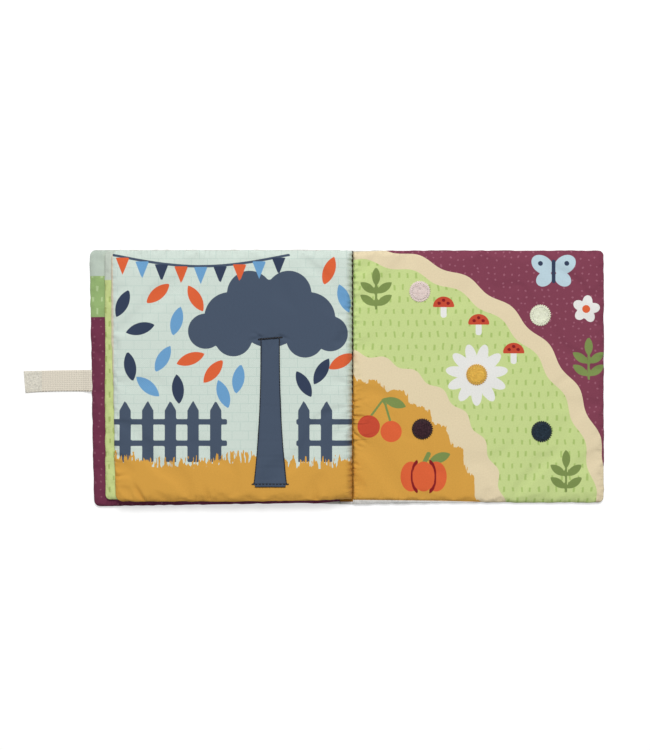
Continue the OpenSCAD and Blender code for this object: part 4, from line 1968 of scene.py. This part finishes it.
LEFT_CREASES = (
    Crease((-69, 31), 200, 10, 1, 1.1),
    Crease((-52.5, 32), -22, 10, 1, 1.1),
    Crease((-69, 32), 150, 8, 0.8, 1),
    Crease((-60, 33), 80, 7, 0.7, 1),
    Crease((-186, -62), -12, 14, 1.6, 1.3),
    Crease((-184, -80), 12, 12, 1.2, 1.2),
    Crease((-162.8, -97), 118, 22, 2, 1.5),
    Crease((-110, -97), 105, 17, 1.3),
    Crease((-24, -97.5), 95, 14, 1.2),
    Crease((-165, 97), -80, 9, 0.5),
    Crease((-88, 97.5), -95, 8, 0.5),
)
RIGHT_CREASES = (
    Crease((5.4, -31.8), -4, 17, 1.9, 0.95),
    Crease((5.4, -21), 18, 14, 1.2, 1.1),
    Crease((5.4, -45), -40, 17, 1.7, 1.05),
    Crease((5.4, -54), -22, 11, 1, 1),
    Crease((5.4, -9), 12, 10, 0.8, 1),
    Crease((5.4, -70), -15, 9, 0.8, 1),
    Crease((5.4, 22), 5, 8, 0.6, 1),
    Crease((5.4, 46), 12, 9, 0.6, 1),
    Crease((122, -99), 80, 10, 0.9),
    Crease((158, -99), 100, 10, 0.8),
    Crease((192.5, -99.5), 115, 10, 0.9),
    Crease((60, -97), 85, 9, 0.6),
    Crease((204, -60), 172, 8, 0.7),
    Crease((204, 22), 185, 8, 0.6),
    Crease((90, 99), -88, 8, 0.5),
)
DOTS = (
    ("dot_blush", Ink.BLUSH, Ink.BLUSH_THREAD, (0.84, 1.14)),
    ("dot_ivory", Ink.IVORY, Ink.IVORY_THREAD, (0.86, 1.12)),
    ("dot_gold", Ink.BUTTER, Ink.BUTTER_THREAD, (0.8, 1.16)),
    ("dot_plum", Ink.PLUM, Ink.PLUM_THREAD, (0.35, 1.75)),
    ("dot_navy", Ink.INK_BLUE, Ink.BLUE_THREAD, (0.35, 1.75)),
)


# Stage


@dataclass(frozen=True)
class Studio:
    """White table, soft light from the head of the book, and a long lens straight above."""

    pixel_mm: float = 0.8
    image: tuple[int, int] = (650, 750)
    spine_pixel: Point = (353.0, 376.5)
    spine_edge_mm: float = 5.2
    page_z_mm: float = 5.0
    lens_distance: float = 1.5
    sensor_mm: float = 36.0
    lamps: tuple[tuple[str, Triple, float, float], ...] = (
        ("head_softbox", (0.1, 1.6, 2.9), 1.4, 89.0),
        ("foot_softbox", (-0.5, -0.9, 1.2), 1.2, 0.6),
    )
    fill: float = 0.27
    table_reach: float = 0.65
    table_z_mm: float = -0.15
    table_white: float = 0.96
    glow: float = 1.28
    glow_share: float = 0.4

    def camera(self) -> None:
        """Sets up the camera so that one photograph pixel is pixel_mm on the pages."""
        data = bpy.data.cameras.new("camera")
        data.sensor_fit = "HORIZONTAL"
        data.sensor_width = self.sensor_mm
        data.lens = self.sensor_mm * self.lens_distance / (self.image[0] * self.pixel_mm * MM)
        eye = bpy.data.objects.new("camera", data)
        x = self.spine_edge_mm + (self.image[0] / 2 - self.spine_pixel[0]) * self.pixel_mm
        y = (self.spine_pixel[1] - self.image[1] / 2) * self.pixel_mm
        eye.location = (x * MM, y * MM, self.lens_distance + self.page_z_mm * MM)
        bpy.context.scene.collection.objects.link(eye)
        bpy.context.scene.camera = eye

    def lights(self) -> None:
        """Hangs a large soft lamp at the book's head and a weaker one at its foot, and sets the fill."""
        for name, place, size, power in self.lamps:
            data = bpy.data.lights.new(name, "AREA")
            data.shape = "DISK"
            data.size = size
            data.energy = power
            lamp = bpy.data.objects.new(name, data)
            lamp.location = place
            lamp.rotation_euler = (-Vector(place)).to_track_quat("-Z", "Y").to_euler()
            bpy.context.scene.collection.objects.link(lamp)
        world = bpy.data.worlds.new("studio")
        bpy.context.scene.world = world
        world.use_nodes = True
        world.node_tree.nodes.clear()
        sky = NodeWork(world.node_tree)
        seen = sky.add("ShaderNodeLightPath").outputs["Is Camera Ray"]
        level = sky.add(MATH, {0: seen, 1: 1 - self.fill, 2: self.fill}, operation="MULTIPLY_ADD")
        glow = sky.add("ShaderNodeBackground", {"Color": (1.0, 1.0, 1.0, 1.0), "Strength": level})
        sky.add("ShaderNodeOutputWorld", {"Surface": glow})

    def table(self) -> None:
        """Lays the white table, which keeps a faint shadow of the book."""
        reach = self.table_reach
        mesh = bpy.data.meshes.new("table")
        corners = [(-reach, -reach), (reach, -reach), (reach, reach), (-reach, reach)]
        mesh.from_pydata([(x, y, self.table_z_mm * MM) for x, y in corners], [], [(0, 1, 2, 3)])
        graph = Graph("white_table")
        seen = graph.add("ShaderNodeLightPath").outputs
        shown: Any = seen["Is Camera Ray"]
        for ray in ("Is Glossy Ray", "Is Transmission Ray"):
            shown = graph.add(MATH, {0: shown, 1: seen[ray]}, operation="MAXIMUM")
        share = graph.add(MATH, {0: shown, 1: self.glow_share}, operation="MULTIPLY")
        paper = graph.add("ShaderNodeBsdfDiffuse", {"Color": (*[self.table_white] * 3, 1.0)})
        glow = graph.add("ShaderNodeEmission", {"Color": (1.0, 1.0, 1.0, 1.0), "Strength": self.glow})
        mixed = graph.add("ShaderNodeMixShader", {0: share, 1: paper, 2: glow})
        graph.add("ShaderNodeOutputMaterial", {"Surface": mixed})
        new_piece("table", mesh, graph.material)


# Assembly


@dataclass
class PuppetBook:
    """The whole book: its padded panels and what is sewn to them."""

    gutter: Gutter
    lean: float = 3.5
    drop: float = 3.0
    first_lean: float = 0.6
    second_lean: float = 3.0
    first_out: float = 1.0
    second_out: float = 1.9
    spine_edge: float = 5.0
    strap_edge_x: float = -204.19
    gold_from: float = -15.0
    panels: dict[str, PaddedPanel] = field(default_factory=dict)
    outer_cloth: PlainCotton = PlainCotton("outer_cotton", Ink.PALE_CLOTH)
    lining: PlainCotton = PlainCotton("leaf_lining", Ink.CREAM)

    def hem_width(self, x: Array) -> Array:
        """Gives how far the outer cloth comes round on to the inside along the foot, widest at the spine."""
        right = 3.6 * np.clip(1 - (x - self.spine_edge) / 118, 0, 1) ** 0.9
        return np.where(x > 0, right, 2.4 * np.clip(1 + (x + self.spine_edge) / 18, 0, 1))

    def cover_shift(self, x: Array) -> Array:
        """Gives how far the covers' foot bulges out beside the spine."""
        return -1.4 * np.clip(1 - (np.abs(x) - self.spine_edge) / np.where(x < 0, 40, 95), 0, 1) ** 1.5

    def leaf_shift(self, x: Array) -> Array:
        """Gives how far the leaves' foot is drawn in beside the spine."""
        return 1.5 * np.clip(1 - np.abs(x) / 75, 0, 1)

    def first_leaf_shift(self, x: Array) -> Array:
        """Gives how far the first leaf's foot is drawn in, also towards its outer corner."""
        return self.leaf_shift(x) + 1.3 * np.clip(-x / 60 - 1.5, 0, 1)

    def make_panels(self) -> None:
        """Makes the covers and the leaves."""
        g = self.gutter
        front, back, pages = (box_mm(node) for node in ("front_cover", "back_cover", "pages"))
        cover_h = 2 * front[1][1]
        leaf_h = pages[1][1] - pages[0][1]
        first_outer = pages[0][0] - self.first_out
        second_outer = pages[0][0] + g.second_sewn - g.first_sewn - self.second_out
        patch_low, patch_high = (tuple(corner[:2]) for corner in box_mm("cover_grip_patch"))

        def hem(at: Flat) -> Array:
            """Gives where the outer cloth shows on the inside of the covers."""
            width = self.hem_width(at[0])
            foot = np.where(width > 0.05, width + self.cover_shift(at[0]), -3.0) - at[1] - cover_h / 2
            return np.maximum(foot, at[1] - cover_h / 2 + 1.3 * np.clip(1 - np.abs(at[0]) / 40, 0, 1) - 0.1)

        def edge(at: Flat) -> Array:
            """Gives where the second leaf's lining shows beside its outer seam."""
            width = 0.9 * np.clip((at[1] + 30) / 90, -0.5, 1)
            return second_outer + self.second_lean * (leaf_h / 2 - at[1]) / leaf_h + width - at[0]

        inks = (Ink.COVER_MINT, 80.4), (Ink.COVER_GREEN, 50.0), Ink.COVER_MAROON
        cover_print = bands_print("front_cover_print", *inks, hem)
        inks = (Ink.LEAF_MINT, 77.0), (Ink.OLD_LIME, -20.0), Ink.OLD_LIME
        leaf_print = bands_print("first_leaf_print", *inks)
        page_print = TerracedPage((back[0][0] + back[1][0]) / 2).printed(hem)
        cover_foot = {"hem": self.hem_width, "foot_shift": self.cover_shift}
        panels = [
            PaddedPanel(
                "front_cover_pad", BOOK, "front_cover", "front_cloth", front[0][0], front[1][0], cover_h,
                np.zeros_like, g.cover_depth, cover_print, self.outer_cloth, self.lean, self.drop,
                head_rise=0.5, corner_r=5.6, **cover_foot,
            ),
            PaddedPanel(
                "first_leaf_pad", BOOK, "pages", "leaf_cloth", first_outer, g.first_sewn, leaf_h,
                g.first_base, lambda x: g.leaf_depth(x, g.first_sewn), leaf_print, self.lining,
                self.first_lean, seed=SEED + 40, head_rise=0.7, corner_r=4.0,
                foot_shift=self.first_leaf_shift,
            ),
            PaddedPanel(
                "second_leaf_pad", BOOK, "pages", "leaf_cloth", second_outer, g.second_sewn, leaf_h,
                g.second_base, g.second_depth, left_page_print(edge), self.lining, self.second_lean,
                seed=SEED + 80, creases=LEFT_CREASES, knot=0.25, scallop=0.8, head_rise=0.9, belly=1.1,
                foot_shift=self.leaf_shift,
            ),
            PaddedPanel(
                "back_cover_pad", BACK, "back_cover", "back_cloth", back[1][0], back[0][0], cover_h,
                np.zeros_like, lambda x: g.cover_depth(x, g.back_roll), page_print, self.outer_cloth,
                seed=SEED + 120, creases=RIGHT_CREASES, knot=0.45, scallop=0.3, seam_roll=1.0, corner_r=4.6,
                recess=lambda at: block(at, patch_low, patch_high, 1.5), **cover_foot,
            ),
        ]
        for panel in panels:
            panel.build()
            self.panels[panel.name] = panel

    def make_sewn_pieces(self) -> None:
        """Makes the strip, the strap, the grip dots and patches, the spine and the gutter's seam."""
        leaf = self.panels["second_leaf_pad"]
        leaf_tree = surface_tree(leaf.piece)
        low, high = box_mm("sewn_strip")
        slate, navy = PlainCotton("strip_cotton", Ink.SLATE), Thread("navy_thread", Ink.THREAD_NAVY)
        strip = SewnStrip((low[0] + high[0]) / 2, high[1], low[1], slate, navy)
        strip.build(leaf_tree, leaf.piece)
        natural, selvedge_shade = Thread("natural_thread", Ink.GRIP_CREAM), Thread("selvedge_thread", Ink.SELVEDGE_SHADE)
        pile = GripPile("hook_nylon", Ink.GRIP_CREAM, 1.5, (0.66, 1.24))
        tape = WovenTape("cotton_webbing", Ink.FLAX)
        tip_x, patch = box_mm("closing_strap")[0][0], box_mm("strap_grip_patch")
        ClosingStrap(tip_x, self.strap_edge_x, patch, tape, pile, natural, selvedge_shade).build()
        cover_tree = surface_tree(self.panels["back_cover_pad"].piece)
        for dot in DOTS:
            GripDot(*dot).build(cover_tree)
        CoverPatch(*box_mm("cover_grip_patch"), pile, natural).build()
        # seam rows and spine linings in dark colours: real thread and cloth, with painted shade of the fold
        inks = (("gutter_stitches", Ink.GUTTER_SHADE_DARK), ("gutter_foot_stitches", Ink.GUTTER_SHADE_GOLD))
        shade_linings = [PlainCotton(f"{name}_lining", ink) for name, ink in inks]
        SpineCloth(*box_mm("spine"), self.outer_cloth, *shade_linings, self.gold_from).build()
        x = self.gutter.second_sewn - 0.4
        half = leaf.height / 2 - 3
        for (name, ink), (start, end) in zip(inks, ((half, self.gold_from), (self.gold_from - 2, -half))):
            places = [(x, y) for y in np.linspace(start, end, 90)]
            seam = StitchRow(name, BOOK, "leaf_cloth", Thread(f"{name}_thread", ink), 4.2, 3.4, 0.2)
            seam.sew(laid_on(places, 0.1, leaf_tree))


def box_mm(node: str) -> Corners:
    """Gives a CAD node's lowest and highest corners in millimetres."""
    low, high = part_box(node)
    return [c / MM for c in low], [c / MM for c in high]


def main() -> None:
    """Builds the studio and the book in order."""
    logging.basicConfig(level=logging.INFO, format="%(name)s: %(message)s")
    bpy.context.scene.view_settings.view_transform = "Standard"
    studio = Studio()
    studio.camera()
    studio.lights()
    studio.table()
    spine, pages, back = (box_mm(node) for node in ("spine", "pages", "back_cover"))
    leaf_pitch = 7.0
    gutter = Gutter(
        spine_half=spine[1][0], spine_t=spine[1][2], cover_t=back[1][2],
        leaf_t=(pages[1][2] - back[1][2] - 2 * Gutter.gap) / 2, first_sewn=pages[1][0] - leaf_pitch,
        second_sewn=pages[1][0],
    )
    book = PuppetBook(gutter)
    book.make_panels()
    book.make_sewn_pieces()


if __name__ == "__main__":
    main()
